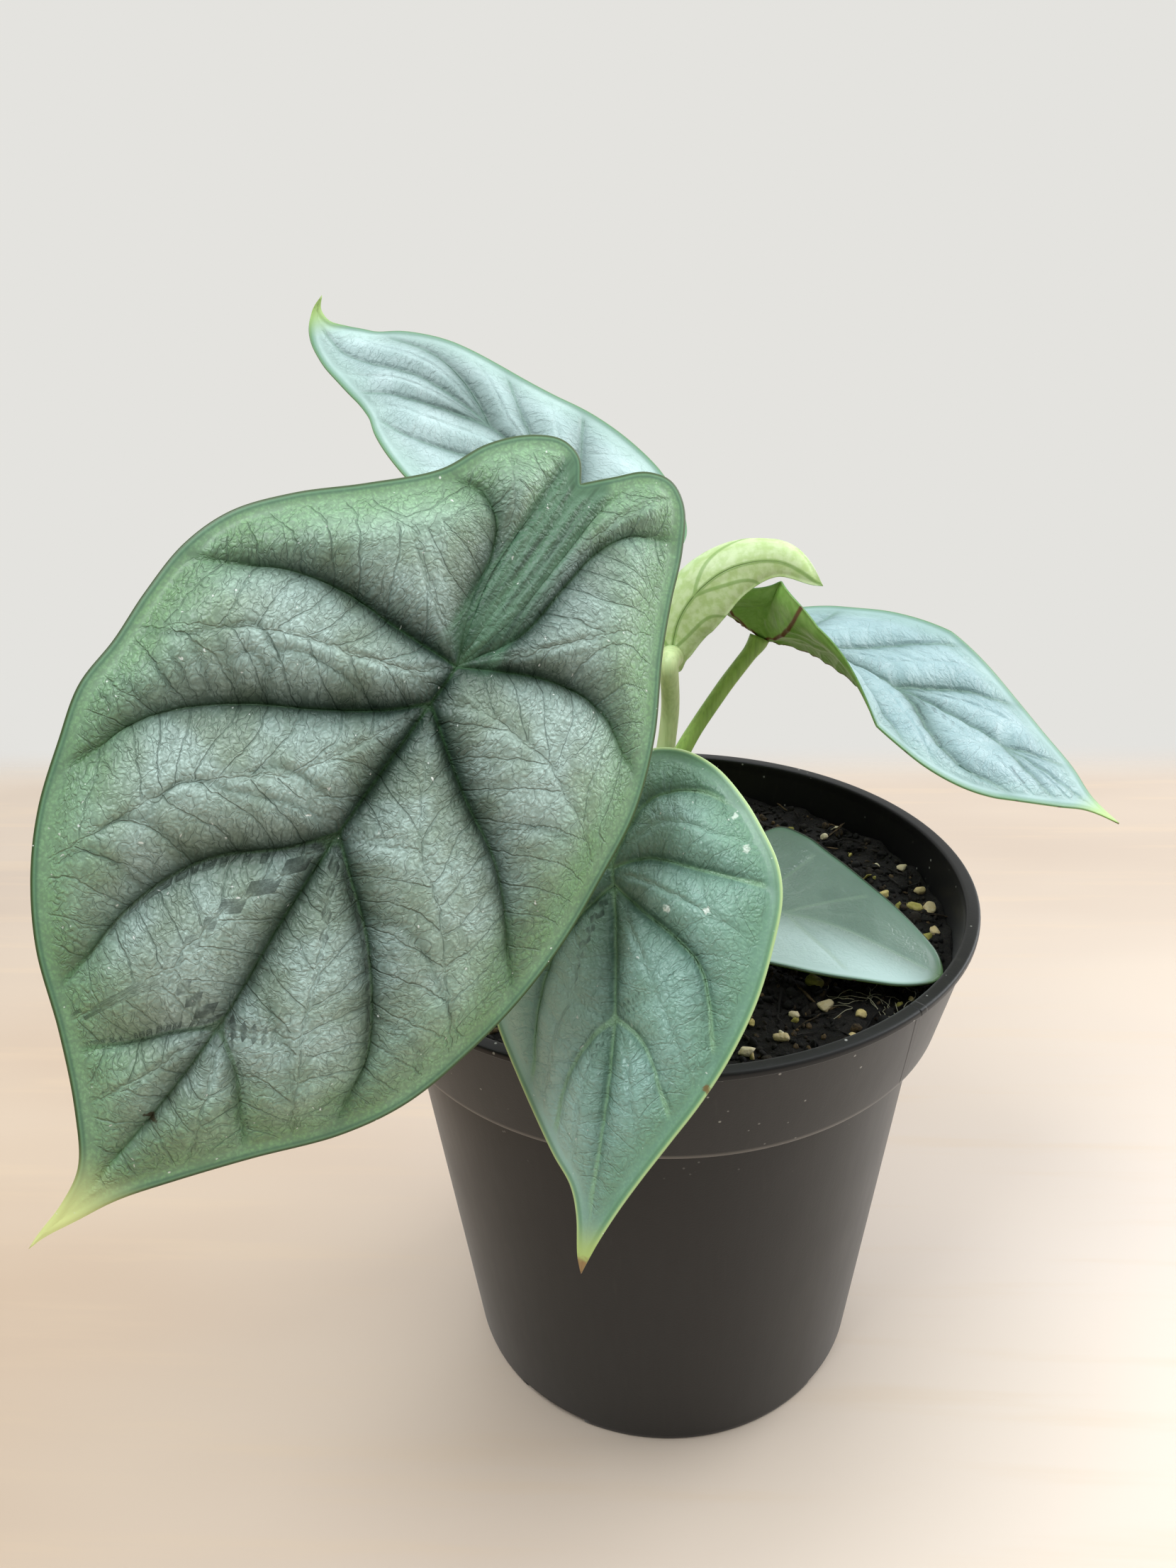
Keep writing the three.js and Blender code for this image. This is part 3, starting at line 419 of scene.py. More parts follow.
class LeafSurface:
    def __init__(self, stations, ease, steps=40):
        places, faces, curls = zip(*stations)
        curve = smoothCurve(places, steps)
        self.u = lengths(curve) - lengths(curve)[steps]
        stops = self.u[np.arange(len(stations)) * steps]
        face = self.spread(self.u, stops, np.array(faces, float))
        # ease is how far, in mm, a turn of the midrib is spread out so that the margins don't kink
        behind, ahead = (self.spread(self.u + shift, self.u, curve) for shift in (-ease, ease))
        self.tangent = unit(ahead - behind)
        self.face = unit(face - (face * self.tangent).sum(1)[:, None] * self.tangent)
        self.across = np.cross(self.tangent, self.face)
        self.curl = self.spread(self.u, stops, np.array(curls, float))
        self.curve = curve

    def spread(self, x, stops, values):
        return np.stack([np.interp(x, stops, values[:, k]) for k in range(values.shape[1])], 1)

    def place(self, u, v, lift):
        curve, face, across, curl, tangent = (
            self.spread(u, self.u, field)
            for field in (self.curve, self.face, self.across, self.curl, self.tangent))
        beyond = np.maximum(u - self.u[-1], 0) + np.minimum(u - self.u[0], 0)
        bend = np.where(v > 0, curl[:, 0], curl[:, 1])
        bend = np.where(np.abs(bend) < 1e-6, 1e-6, bend)
        angle = bend * v
        sideways = np.sin(angle) / bend + lift * np.sin(angle)
        upward = (np.cos(angle) - 1) / bend + lift * np.cos(angle)
        return curve + beyond[:, None] * tangent + sideways[:, None] * across + upward[:, None] * face


def vertexNormals(points, faces):
    a, b, c = (points[faces[:, k]] for k in range(3))
    flatNormal = np.cross(b - a, c - a)
    normals = np.zeros_like(points)
    for k in range(3):
        np.add.at(normals, faces[:, k], flatNormal)
    return unit(normals)


def growLeaf(name, ownValues):
    leaf = {**anyLeaf, **ownValues}
    drawing = drawLeaf(leaf)
    flat, faces = leafGrid(leaf, drawing)
    fields = leafFields(leaf, drawing, flat)
    surface = LeafSurface(leaf["spine"], leaf["ease"])
    middle = surface.place(flat[:, 0], flat[:, 1], fields["height"])
    normals = vertexNormals(middle, faces)
    share = smoothStep(fields["edge"], 0, blade["taper"])
    half = (blade["edgeThickness"] + (blade["thickness"] - blade["edgeThickness"]) * share)[:, None] / 2
    points = np.vstack([middle + half * normals, middle - half * normals])
    count = len(middle)
    edges = np.vstack([faces[:, [0, 1]], faces[:, [1, 2]], faces[:, [2, 0]]])
    keys = edges[:, 0] * count + edges[:, 1]
    rim = edges[~np.isin(keys, edges[:, 1] * count + edges[:, 0])]
    i, j = rim[:, 0], rim[:, 1]
    wall = np.vstack([np.stack([j, i, i + count], 1), np.stack([j, i + count, j + count], 1)])
    allFaces = np.vstack([faces, faces[:, ::-1] + count, wall])
    twice = {key: np.r_[fields[key], fields[key]] for key in skinFields}
    twice["flat"] = np.tile(np.c_[flat, np.zeros(count)], (2, 1))
    twice["grain"] = np.tile(np.c_[fields["along"], fields["vein"], np.zeros(count)], (2, 1))
    twice["under"] = np.r_[np.zeros(count), np.ones(count)]
    material = leafMaterial(name, leaf["look"])
    piece = meshPiece(name, points, allFaces, material, twice)
    dress(piece, leaf["slot"], f"{name}_blade")
    print("leaf", name, len(allFaces), "triangles")
    growStalk(name, leaf, surface)


# Leaf finish. Colours are given as the eye sees them. The patterns' scales are in cycles per millimetre.

skin = {
    "wander": 0.5, "wobble": 0.4, "pleats": (0.8, 0.2, 1), "wrinkles": (0.3, 0.42, 1), "fine": 2.4,
    "patches": 0.09, "fibres": (0.06, 0.9, 1), "specks": 0.6, "ragged": 1.3, "underTones": 0.6,
}


def leafMaterial(name, look):
    shader = Shader(f"{name} skin", IOR=1.42)
    flat = shader.attribute("flat", "Vector")
    grain = shader.attribute("grain", "Vector")
    edge, vein, valley, crease, gap, fold, seam, costa, under = (
        shader.attribute(key) for key in (*skinFields, "under"))
    u, v = (shader.axis(flat, which) for which in "XY")
    wander = shader.noise(flat, skin["wander"], 2.0, output="Color").scaled(2, 2, 0)
    bent = flat.moved(wander)
    # smaller veins, then short pleats square to the main veins, then wrinkles and a fine leather grain
    wobble = shader.noise(flat, skin["wobble"], 2.0) - 0.5
    foldLine = ((fold + wobble * 0.3).math("FRACT") - 0.5).math("ABSOLUTE").between(0.05, 0.0)
    foldLine = foldLine * gap.between(0.1, 0.9) * look["foldLine"]
    seamLine = (seam + wobble * 4.0).math("ABSOLUTE").between(0.4, 0.0) * gap.between(1.8, 0.9)
    seamLine = seamLine * look["foldLine"] * 0.7
    pleat = shader.noise(grain.moved(wander).scaled(*skin["pleats"]), 1.0, 1.5)
    pleatHere = vein.between(0.3, 1.2) * vein.between(look["pleatReach"], 2.5) * gap.between(0.2, 1.6)
    pleatLine = (pleat - 0.5).math("ABSOLUTE").between(0.03, 0.0) * pleatHere
    wrinkle = shader.noise(bent.scaled(*skin["wrinkles"]), 1.0, 1.5)
    wrinkleLine = (wrinkle - 0.5).math("ABSOLUTE").between(0.018, 0.0)
    mainLines = foldLine.math("MAXIMUM", seamLine)
    lines = mainLines.math("MAXIMUM", (pleatLine * 0.6).math("MAXIMUM", wrinkleLine * 0.5))
    pebble = shader.cells(bent, look["pebbleScale"])
    fine = shader.noise(flat, skin["fine"], 3.0, 0.75)
    patch = shader.noise(flat, skin["patches"], 2.0)
    inside = edge.between(1.6, 3.2)

    silver = shader.mix(patch.between(0.42, 0.62), look["silver"], look["silverTwo"])
    silver = shader.mix(edge.between(look["greenReach"], 2.0) * look["greenShare"], silver, look["sage"])
    costaHere = costa.between(look["costaWidth"], look["costaWidth"] - 2.0) * u.between(1.0, -5.0)
    lines = lines * (1 - costaHere * 0.85)
    mainLines = mainLines * (1 - costaHere)
    # the fold and seam lines are the smaller veins' own darker colour; the pleat and wrinkle lines in it
    # are painted shade in those folds
    shadeLine = crease * look["creaseShade"] + (mainLines * 0.6 + lines * 0.4) * look["netShade"]
    silver = shader.mix(shadeLine.math("MINIMUM", 0.8) * inside, silver, look["creaseColor"])
    speckled = (pebble * 0.4 + fine * 0.8).between(0.36, 0.74)
    silver = shader.mix(speckled * look["stipple"], silver, look["stippleColor"])
    # painted sheen: one half of the blade is made lighter and bluer, standing for the room's light
    # reflected off it
    silver = shader.mix(v.between(-2.0, 9.0) * look["nearShare"], silver, look["nearSilver"])
    # the darkness beside the veins is partly the veins' own dark green and partly painted shade in the
    # valleys between the cushions
    dark = shader.mix(valley.between(0.0, 1.0) * look["valleyShade"], silver, look["valley"])
    line = vein.between(look["veinWidth"] + 0.35, look["veinWidth"] - 0.1) * inside
    top = shader.mix(line * look["veinShade"], dark, look["veinColor"])
    fibre = shader.noise(flat.scaled(*skin["fibres"]), 1.0, 3.0)
    costaTone = shader.mix(fibre.between(0.2, 0.6), look["valley"], look["costaLine"])
    top = shader.mix(costaHere * look["costaShade"], top, costaTone)
    band = edge.between(look["bandWidth"] + 0.8, look["bandWidth"] - 0.7)
    top = shader.mix(band, top, look["band"])
    top = shader.mix(edge.near(look["bandWidth"] + 0.1, 0.35) * look["bandLine"], top, look["creaseColor"])
    top = shader.mix(edge.between(0.5, 0.15), top, look["edge"])
    top = shader.mix(u.between(look["tipFrom"], look["tipTo"]), top, look["tip"])
    speckPick = shader.cells(bent, skin["specks"], "Color").between(0.5, 0.56) * look["dust"]
    speck = shader.cells(bent, skin["specks"]).between(0.1, 0.05) * speckPick
    top = shader.mix(speck, top, srgb(236, 240, 234))
    # single scars and spots, each (u, v), radius and colour, with ragged edges
    ragged = flat.moved(shader.noise(flat, skin["ragged"], 2.0, output="Color").scaled(1.6, 1.6, 0))
    for (markU, markV), radius, color in look["marks"]:
        centre = (markU + 0.8, markV + 0.8, 0)
        away = shader.node("ShaderNodeVectorMath", {"operation": "DISTANCE"}, (ragged, centre), 1)
        top = shader.mix(away.between(radius, 0.5 * radius) * 0.85, top, color)

    underShare = shader.noise(flat, skin["underTones"], 3.0).between(0.35, 0.65)
    underTone = shader.mix(underShare, look["under"], look["underTwo"])
    underVein = vein.between(0.45, 0.15) * look["underVeinShade"]
    below = shader.mix(underVein, underTone, look["underVein"])
    below = shader.mix(crease * 0.35, below, look["underVein"])
    shader.feed("Base Color", shader.mix(under, top, below))

    gloss = look["roughness"] + (fine - 0.5) * 0.12 + valley * 0.1
    shader.feed("Roughness", gloss)
    height = (pleat * pleatHere * look["pleatHeight"] + wrinkle * look["pleatHeight"] * 0.5
              - lines * look["lineDepth"] - pebble * look["pebbleHeight"])
    shader.bump(height * inside * (1 - 0.7 * under))
    return shader.material


def growStalk(name, leaf, surface):
    foot, *middle = leaf["stalk"]
    low, high = leaf["stalkRadius"]
    seat = np.array([foot[0], foot[1], stem["top"] - 1.0])
    underside = -leaf["groove"] - blade["thickness"] / 2

    def under(drop):
        return surface.place(np.zeros(1), np.zeros(1), np.full(1, underside - drop))[0]
    path = [seat, seat + (0, 0, 4), *middle, under(leaf["stalkLead"]), under(-0.1)]
    path = evenly(smoothCurve(path), 70)
    t = np.linspace(0, 1, len(path))
    swell = 0.5 * smoothStep(t, 0.93, 1) + 0.12 * low * np.exp(-((t / 0.06) ** 2))
    radii = low + (high - low) * np.minimum(1, 1.6 * t) + swell
    points, faces, along = tube(path, radii, 22)
    piece = meshPiece(f"{name}_petiole", points, faces, leaf["stalkLook"], {"along": along})
    dress(piece, leaf["stalkSlot"], f"{name}_stalk")


def stalkMaterial(name, color, footColor, speck):
    shader = Shader(name, IOR=1.42, Subsurface_Weight=0.12, Subsurface_Scale=0.002)
    place = shader.place()
    along = shader.attribute("along")
    streak = shader.noise(place.scaled(1, 1, 0.08), 1600, 2.0)
    tone = shader.mix(along.between(0.45, 0.0), color, footColor)
    tone = shader.mix(streak.between(0.35, 0.75) * 0.35, tone, speck)
    shader.feed("Base Color", tone)
    shader.feed("Roughness", 0.36 + streak * 0.15)
    shader.bump(streak * 0.05)
    return shader.material


stem = {"centre": (-5, 4), "top": 100.4, "radius": 9.5, "depth": 26}
greenStalk = stalkMaterial("green stalk", srgb(170, 204, 110), srgb(150, 150, 96), srgb(86, 122, 52))
youngStalk = stalkMaterial("young stalk", srgb(206, 224, 166), srgb(206, 208, 168), srgb(150, 178, 100))

# what most leaves share; spacing and rows set how fine their mesh is
anyLeaf = {
    "creases": [], "creaseDepth": 0, "spacing": 0.5, "rows": 46, "ease": 0.5,
    "stalkSlot": "stalk", "stalkLook": greenStalk,
}
# the two palest leaves' finish; another leaf's look says only what differs
paleLook = {
    "silver": srgb(146, 174, 179), "silverTwo": srgb(158, 185, 190), "sage": srgb(138, 170, 160),
    "greenReach": 7, "greenShare": 0.5, "valley": srgb(66, 96, 86), "valleyShade": 0.95,
    "veinColor": srgb(104, 136, 122), "veinWidth": 0.3, "veinShade": 0.5,
    "creaseColor": srgb(104, 134, 122), "creaseShade": 0.5, "netShade": 0.25, "foldLine": 0.6,
    "nearShare": 0.0, "nearSilver": srgb(196, 220, 220), "dust": 0.0, "marks": [], "pebbleScale": 1.7,
    "stipple": 0.15, "stippleColor": srgb(124, 154, 146), "band": srgb(98, 140, 112),
    "bandWidth": 0.8, "bandLine": 0.2, "edge": srgb(96, 136, 96), "tip": srgb(170, 200, 120),
    "tipFrom": 62, "tipTo": 69, "under": srgb(128, 172, 80), "underTwo": srgb(144, 184, 98),
    "underVein": srgb(110, 62, 44), "underVeinShade": 0.95, "roughness": 0.4,
    "lineDepth": 0.1, "pebbleHeight": 0.08, "pleatHeight": 0.5, "pleatReach": 7, "costaWidth": 2.4,
    "costaLine": srgb(120, 160, 140), "costaShade": 0.2,
}

largeLeaf = {
    "midrib": [(0, 0), (26, -1.1), (40, -2.3), (55, -4.2), (75, -4.4), (92.3, -2.9)],
    "notch": (-31.5, 1.8),
    "left": [(-34.4, 4.2), (-34.8, 7.5), (-32, 11.5), (-27, 15), (-20, 17.6), (-12, 23.8), (-5, 30),
             (2, 34.6), (9, 36.4), (17, 36.2), (24, 35.4), (31, 35.2), (38, 32.8), (46, 29.6),
             (53, 25.4), (60, 19.4), (67, 10.8), (74, 3.4), (80, -1.4), (85, -2.6), (90, -2.7)],
    "right": [(-35.5, -1.2), (-39.5, -4.4), (-41, -8), (-39.4, -11.6), (-34, -15.2), (-27, -18.2),
              (-20, -21.6), (-10, -27.6), (0, -31.6), (10, -33.2), (20, -34.3), (30, -34.2),
              (40, -32.8), (50, -30.2), (58, -25.8), (67, -18.2), (75, -12), (81, -7.8), (86, -5.4),
              (90, -3.5)],
    "ribs": [
        {"start": 0, "depth": 0.3, "left": [(-10, 3.2), (-18, 4.3), (-25, 4.5), (-31, 5)],
         "right": [(-10, -2), (-20, -2.3), (-30, -2.6), (-36, -3.2)]},
        {"start": 0, "depth": 1, "left": [(-9, 4), (-15, 5.4), (-19.5, 8), (-21, 11.5), (-20.4, 15)],
         "right": [(-9, -4.2), (-18, -4.9), (-25, -5.6), (-30, -7.8), (-33, -11.5)]},
        {"start": 0, "depth": 1, "left": [(0.9, 9), (1.4, 17), (3.4, 24), (7.5, 30.5)],
         "right": [(-3.5, -5.5), (-6.2, -10.5), (-7.7, -16), (-7.2, -21), (-5, -25.5)]},
        {"start": 6, "depth": 1,
         "left": [(10.5, 4), (15.5, 10.5), (20.5, 18), (26, 24), (31, 27.2), (38, 29.2)],
         "right": [(10, -6.2), (13.5, -12), (17, -19), (22, -25), (27, -29.5)]},
        {"start": 26.5, "depth": 0.9,
         "left": [(32, 3), (38, 9.2), (44, 12.3), (51, 13.8), (57, 13.8)],
         "right": [(30, -5.5), (35, -12), (42, -18.3), (48, -22), (54, -23.3)]},
        {"start": 55, "depth": 0.4, "left": [(58, -0.8), (62.5, 3), (66, 6.3)],
         "right": [(58.5, -9.5), (62.5, -13.2)]},
    ],
    "creases": [
        [(11, 3), (10.5, 12), (12.5, 18), (19, 17)],
        [(21, 33.5), (19, 29), (16, 25.5), (17, 23.5), (20, 19)],
        [(16, 25.5), (14, 24.5), (12, 22.5), (13, 19), (11, 15), (10.5, 5.5)],
        [(17.5, 22.5), (15, 21), (15.5, 18.5), (18.5, 16)], [(19, 27), (20, 24.5), (22, 22)],
        [(21, 28.5), (22, 26), (24, 24)], [(23, 30), (24.5, 25.5)], [(27, 32.5), (27.5, 27)],
        [(30.5, 33.5), (30, 30.5)], [(44, 21), (41.5, 21), (39, 18.5), (39.5, 10.5)],
        [(39, 18.5), (32.5, 17.5), (29, 10), (27, 6), (26.5, 1.5)],
        [(27, 12), (24.5, 10), (23.5, 6.5), (23.5, 2.5)], [(48.5, 23), (45.5, 20.5), (46, 13.5)],
        [(9.5, -25), (11, -20), (15, -16.5)], [(42.5, -20), (42.2, -25), (46, -29)],
        [(34, -8), (31, -15), (34, -22), (38, -28)],
        [(47.5, -3.5), (49.5, -9), (53, -13.5), (57, -16.2)],
    ],
    "puff": 5.0, "puffReach": 5.0, "foldSpacing": 4.4, "foldHeight": 0.3, "groove": 1.0,
    "grooveWidth": 1.8, "creaseDepth": 0.35, "valleyWidth": 3.9, "spacing": 0.62, "rows": 62,
    "spine": [
        ((-4.7, -31.1, 194.2), (0.4, -0.76, 0.51), (0.004, 0.004)),
        ((-26.5, -55.1, 170.8), (0.33, -0.83, 0.44), (0.004, 0.004)),
        ((-52.9, -77.3, 142), (0.25, -0.9, 0.35), (0.004, 0.004)),
        ((-82.2, -94.6, 109.6), (0.17, -0.95, 0.26), (0.004, 0.004)),
    ],
    "stalk": [(-10, 1.5), (-15, -8, 118), (-22, -24, 142), (-27.4, -43, 161)],
    "stalkRadius": (3.2, 2.2), "stalkLead": 4, "slot": "large_leaf",
    "look": {
        **paleLook,
        "silver": srgb(190, 214, 206), "silverTwo": srgb(160, 180, 162), "sage": srgb(124, 172, 112),
        "greenReach": 14, "greenShare": 0.8, "valley": srgb(22, 46, 34), "valleyShade": 0.97,
        "veinColor": srgb(76, 116, 72), "creaseColor": srgb(60, 90, 76), "creaseShade": 0.45,
        "netShade": 0.3, "foldLine": 1.0,
        "pebbleScale": 1.9, "stipple": 0.52, "stippleColor": srgb(98, 116, 102),
        "band": srgb(112, 158, 122), "bandWidth": 0.55, "bandLine": 0.5, "edge": srgb(64, 84, 46),
        "tip": srgb(226, 234, 158), "tipFrom": 76, "tipTo": 88, "under": srgb(120, 150, 80),
        "underTwo": srgb(134, 162, 96), "underVein": srgb(104, 74, 50), "underVeinShade": 0.8,
        "roughness": 0.38, "dust": 0.8,
        "marks": [((69.2, -5), 0.7, srgb(60, 44, 24)), ((69.1, -3.9), 0.5, srgb(60, 44, 24))],
        "lineDepth": 0.18, "pebbleHeight": 0.15, "pleatReach": 9, "costaWidth": 5.2,
        "costaLine": srgb(86, 122, 96), "costaShade": 0.9,
    },
}
growLeaf("large_leaf", largeLeaf)

frontLeaf = {
    "midrib": [(0, 0), (8, -1.2), (20, -1.8), (30, -1.3), (40, 0.3), (50, 2.6), (59.5, 4.4)],
    "notch": (-15.5, 0.5),
    "left": [(-18, 5), (-18, 9.5), (-15, 15), (-9, 20), (-2, 23.4), (5, 24.6), (12, 23.8), (19, 21.4),
             (25, 18.7), (32, 14.8), (38, 11.4), (43, 8.5), (47, 5.8), (51, 4.9), (57, 4.9)],
    "right": [(-18.4, -4), (-18.2, -9.5), (-15.2, -15.2), (-10, -20), (-5, -23.2), (0, -25.6),
              (5, -26.4), (12, -25.3), (20, -23), (28, -19.1), (34, -15.1), (40, -10.2), (45, -6),
              (50, -2), (55, 1.6), (58, 3.5)],
    "ribs": [
        {"start": 0, "depth": 0.8, "left": [(-6, 3), (-9.5, 6), (-11.4, 11), (-11, 16)],
         "right": [(-6, -2.6), (-9.5, -4.8), (-11.2, -9), (-11, -14), (-9, -18.5)]},
        {"start": 0.5, "depth": 0.9, "left": [(0.6, 6), (2.6, 12.5), (6, 19)],
         "right": [(-0.8, -6), (1, -14), (2.5, -20)]},
        {"start": 3, "depth": 1, "left": [(7.4, 4.4), (12, 8.2), (18.5, 10.6), (25, 11.6), (31, 12)],
         "right": [(7, -5.5), (11, -11), (15, -14.8), (20, -16.2), (26, -16.8)]},
        {"start": 22.5, "depth": 0.45, "left": [(25.6, 1.6), (29.6, 4.6), (34, 6.6), (38.5, 7.8)],
         "right": [(25, -5.5), (28.5, -7.8), (33, -9.2)]},
    ],
    "puff": 3.0, "puffReach": 4.5, "foldSpacing": 4.2, "foldHeight": 0.3, "groove": 0.7,
    "grooveWidth": 1.5, "valleyWidth": 2.9,
    "spine": [
        ((-5.5, -32.4, 147.8), (-0.39, -0.56, 0.73), (0.006, 0.006)),
        ((-7.2, -45.2, 135.3), (-0.4, -0.66, 0.63), (0.006, 0.006)),
        ((-8.3, -63.6, 111.7), (-0.41, -0.75, 0.51), (0.006, 0.006)),
        ((-7.6, -78.5, 86.3), (-0.41, -0.83, 0.39), (0.006, 0.006)),
    ],
    "stalk": [(-4, -2.5), (-3, -9, 109), (-3, -24, 120), (-4.4, -37.5, 129)],
    "stalkRadius": (2.6, 1.8), "stalkLead": 4, "slot": "front_leaf",
    "look": {
        **paleLook,
        "silver": srgb(146, 182, 166), "silverTwo": srgb(158, 194, 184), "sage": srgb(112, 158, 116),
        "greenReach": 9, "greenShare": 0.6, "valley": srgb(46, 82, 62), "valleyShade": 0.75,
        "veinColor": srgb(150, 190, 150), "veinWidth": 0.32, "veinShade": 0.6,
        "creaseColor": srgb(76, 108, 88), "netShade": 0.18, "foldLine": 0.8,
        "pebbleScale": 1.9, "stipple": 0.5, "stippleColor": srgb(104, 140, 124),
        "band": srgb(118, 166, 118), "bandWidth": 0.6, "bandLine": 0.35, "edge": srgb(186, 212, 150),
        "tip": srgb(180, 200, 120), "tipFrom": 51, "tipTo": 57.5, "under": srgb(134, 166, 90),
        "underTwo": srgb(146, 176, 104), "underVein": srgb(110, 84, 56), "underVeinShade": 0.7,
        "roughness": 0.3, "dust": 0.6,
        # the lighter half of this blade is painted sheen
        "nearShare": 0.6, "nearSilver": srgb(192, 224, 218),
        "marks": [((7, -10), 0.6, srgb(226, 236, 226)), ((7.4, -16), 0.6, srgb(226, 236, 226)),
                  ((-2, -21), 0.8, srgb(214, 228, 214)), ((-7, -19), 0.6, srgb(214, 228, 214)),
                  ((32, -16), 0.7, srgb(122, 92, 54)), ((59, 4.3), 2.4, srgb(150, 104, 76))],
        "lineDepth": 0.11, "pebbleHeight": 0.15, "costaLine": srgb(110, 150, 120), "costaShade": 0.3,
    },
}
growLeaf("front_leaf", frontLeaf)

backLeaf = {
    "midrib": [(0, 0), (22, 0), (45, -1), (71, 0)],
    "notch": (-12.5, 0),
    "left": [(-15, 2), (-17.4, 5), (-17.4, 9), (-14, 14.6), (-8, 18.2), (-1, 20.4), (6, 20.8),
             (14, 19.8), (22, 17.6), (30, 15.3), (38, 13.4), (46, 11.9), (54, 10.5), (60, 8.2),
             (63.8, 4.8), (65.6, 2), (68, 0.9)],
    "right": [(-16, -2.5), (-18.6, -6.5), (-17.2, -11), (-12, -16.5), (-5, -21), (3, -24.5),
              (11, -26.4), (20, -26.2), (28, -24.6), (36, -21.7), (44, -17.4), (50, -12.7), (55.3, -8.2),
              (59, -6), (62, -4.6), (65, -2.8), (67.8, -1)],
    "ribs": [
        {"start": 0, "depth": 0.8, "left": [(-6, 3.5), (-10, 8), (-11, 12.5)],
         "right": [(-6, -3.5), (-10, -8), (-11.5, -13)]},
        {"start": 2, "depth": 0.9, "left": [(7, 7), (12, 14)], "right": [(7, -8), (11, -15), (14, -21)]},
        {"start": 8, "depth": 0.8, "left": [(16, 4), (24, 8.4), (30.5, 12.6)],
         "right": [(16, -6), (24, -13.4), (31, -17.6), (38, -18.4)]},
        {"start": 24, "depth": 0.9, "left": [(31, 3), (38, 5.6), (45, 7.4), (52, 8.6)],
         "right": [(31, -4.4), (39, -8.4), (47, -9.8)]},
    ],
    "puff": 2.4, "puffReach": 6, "foldSpacing": 6.5, "foldHeight": 0.15, "groove": 0.5,
    "grooveWidth": 2.6, "valleyWidth": 4.6,
    "spine": [
        ((-3.7, 9.5, 165.7), (0.4, -0.45, 0.8), (-0.012, -0.012)),
        ((-14.5, 22, 174.7), (0.4, -0.5, 0.76), (-0.01, -0.01)),
        ((-30, 30, 186.9), (0.4, -0.5, 0.76), (-0.006, -0.006)),
        ((-45, 37.2, 197), (0.4, -0.5, 0.76), (-0.006, -0.006)),
        ((-61.3, 40.6, 201.8), (0.4, -0.5, 0.76), (-0.006, -0.006)),
        ((-66.4, 43.6, 208.9), (0.4, -0.5, 0.76), (-0.006, -0.006)),
        ((-65, 44.2, 212.2), (0.4, -0.5, 0.76), (0, 0)),
    ],
    "stalk": [(-8, 10), (-13.6, 17.5, 125), (-17, 24, 158)],
    "stalkRadius": (2.8, 1.9), "stalkLead": 4, "ease": 7, "slot": "pale_leaf",
    "look": {**paleLook, "silver": srgb(178, 202, 202), "silverTwo": srgb(192, 214, 215),
             "sage": srgb(158, 188, 176), "valley": srgb(62, 86, 78)},
}
growLeaf("back_leaf", backLeaf)

rightLeaf = {
    "midrib": [(0, 0), (30, 0), (48, -1), (66, 0.5), (72.6, 0.5)],
    "notch": (-12.5, 0),
    "left": [(-15, 2.5), (-17.5, 6.5), (-15.5, 11), (-10, 15.2), (-2, 18.6), (6, 21.8), (15, 24),
             (25, 24.5), (34, 23.6), (42, 22.6), (50, 19.4), (58, 13.2), (63.5, 7.6), (67, 3.1),
             (69.5, 1.5)],
    "right": [(-15.5, -2.5), (-18, -6.5), (-17, -11), (-11, -17), (-4, -21), (4, -24), (12, -25.5),
              (20, -27), (28, -26.4), (36, -23.6), (44, -19.4), (52, -14.6), (60, -9), (66, -2.9),
              (69.5, -0.8)],
    "ribs": [
        {"start": 0, "depth": 0.7, "left": [(-5, 4), (-8.5, 9), (-9, 15)],
         "right": [(-5, -4), (-8.5, -9), (-9, -15)]},
        {"start": 1, "depth": 0.8, "left": [(3.6, 6), (5.6, 12), (7, 17.6)],
         "right": [(4, -7), (7.4, -14), (10, -20.5)]},
        {"start": 8, "depth": 0.8, "left": [(14, 5), (21, 11.4), (28, 16.6), (33, 19)],
         "right": [(14, -5.6), (20.6, -12.4), (26.4, -18.6), (30, -21.8)]},
        {"start": 27, "depth": 1, "left": [(31.6, 3.6), (36, 9), (41, 13.3), (47, 14.7), (53, 13)],
         "right": [(31.4, -4.6), (37, -11), (43, -15)]},
        {"start": 49, "depth": 0.6, "left": [(53, 2), (57, 4), (60.5, 5.8)],
         "right": [(53, -3.4), (57, -6)]},
    ],
    "puff": 2.0, "puffReach": 5, "foldSpacing": 4.6, "foldHeight": 0.35, "groove": 0.6,
    "grooveWidth": 2.2, "valleyWidth": 2.8,
    "spine": [
        ((7, 20, 159), (0.45, 0.1, 0.8), (-0.03, -0.02)),
        ((19.6, 16.3, 151.2), (0.25, 0.35, 0.9), (-0.05, -0.03)),
        ((30, 13.2, 148.6), (0.1, 0.1, 1), (-0.035, -0.014)),
        ((46, 7.2, 142.3), (0.2, -0.1, 1), (-0.01, -0.014)),
        ((66, -4.8, 132.9), (0.4, -0.2, 1), (0.006, -0.006)),
        ((79.6, -14.7, 126.4), (0.4, -0.2, 1), (0, 0)),
    ],
    "stalk": [(-1, 9), (0, 10, 116), (4.2, 11.8, 128), (12, 14.2, 140.4)],
    "stalkRadius": (2.6, 1.5), "stalkLead": 1, "ease": 4, "slot": "pale_leaf",
    "look": {**paleLook, "tipFrom": 64, "tipTo": 71},
}
growLeaf("right_leaf", rightLeaf)

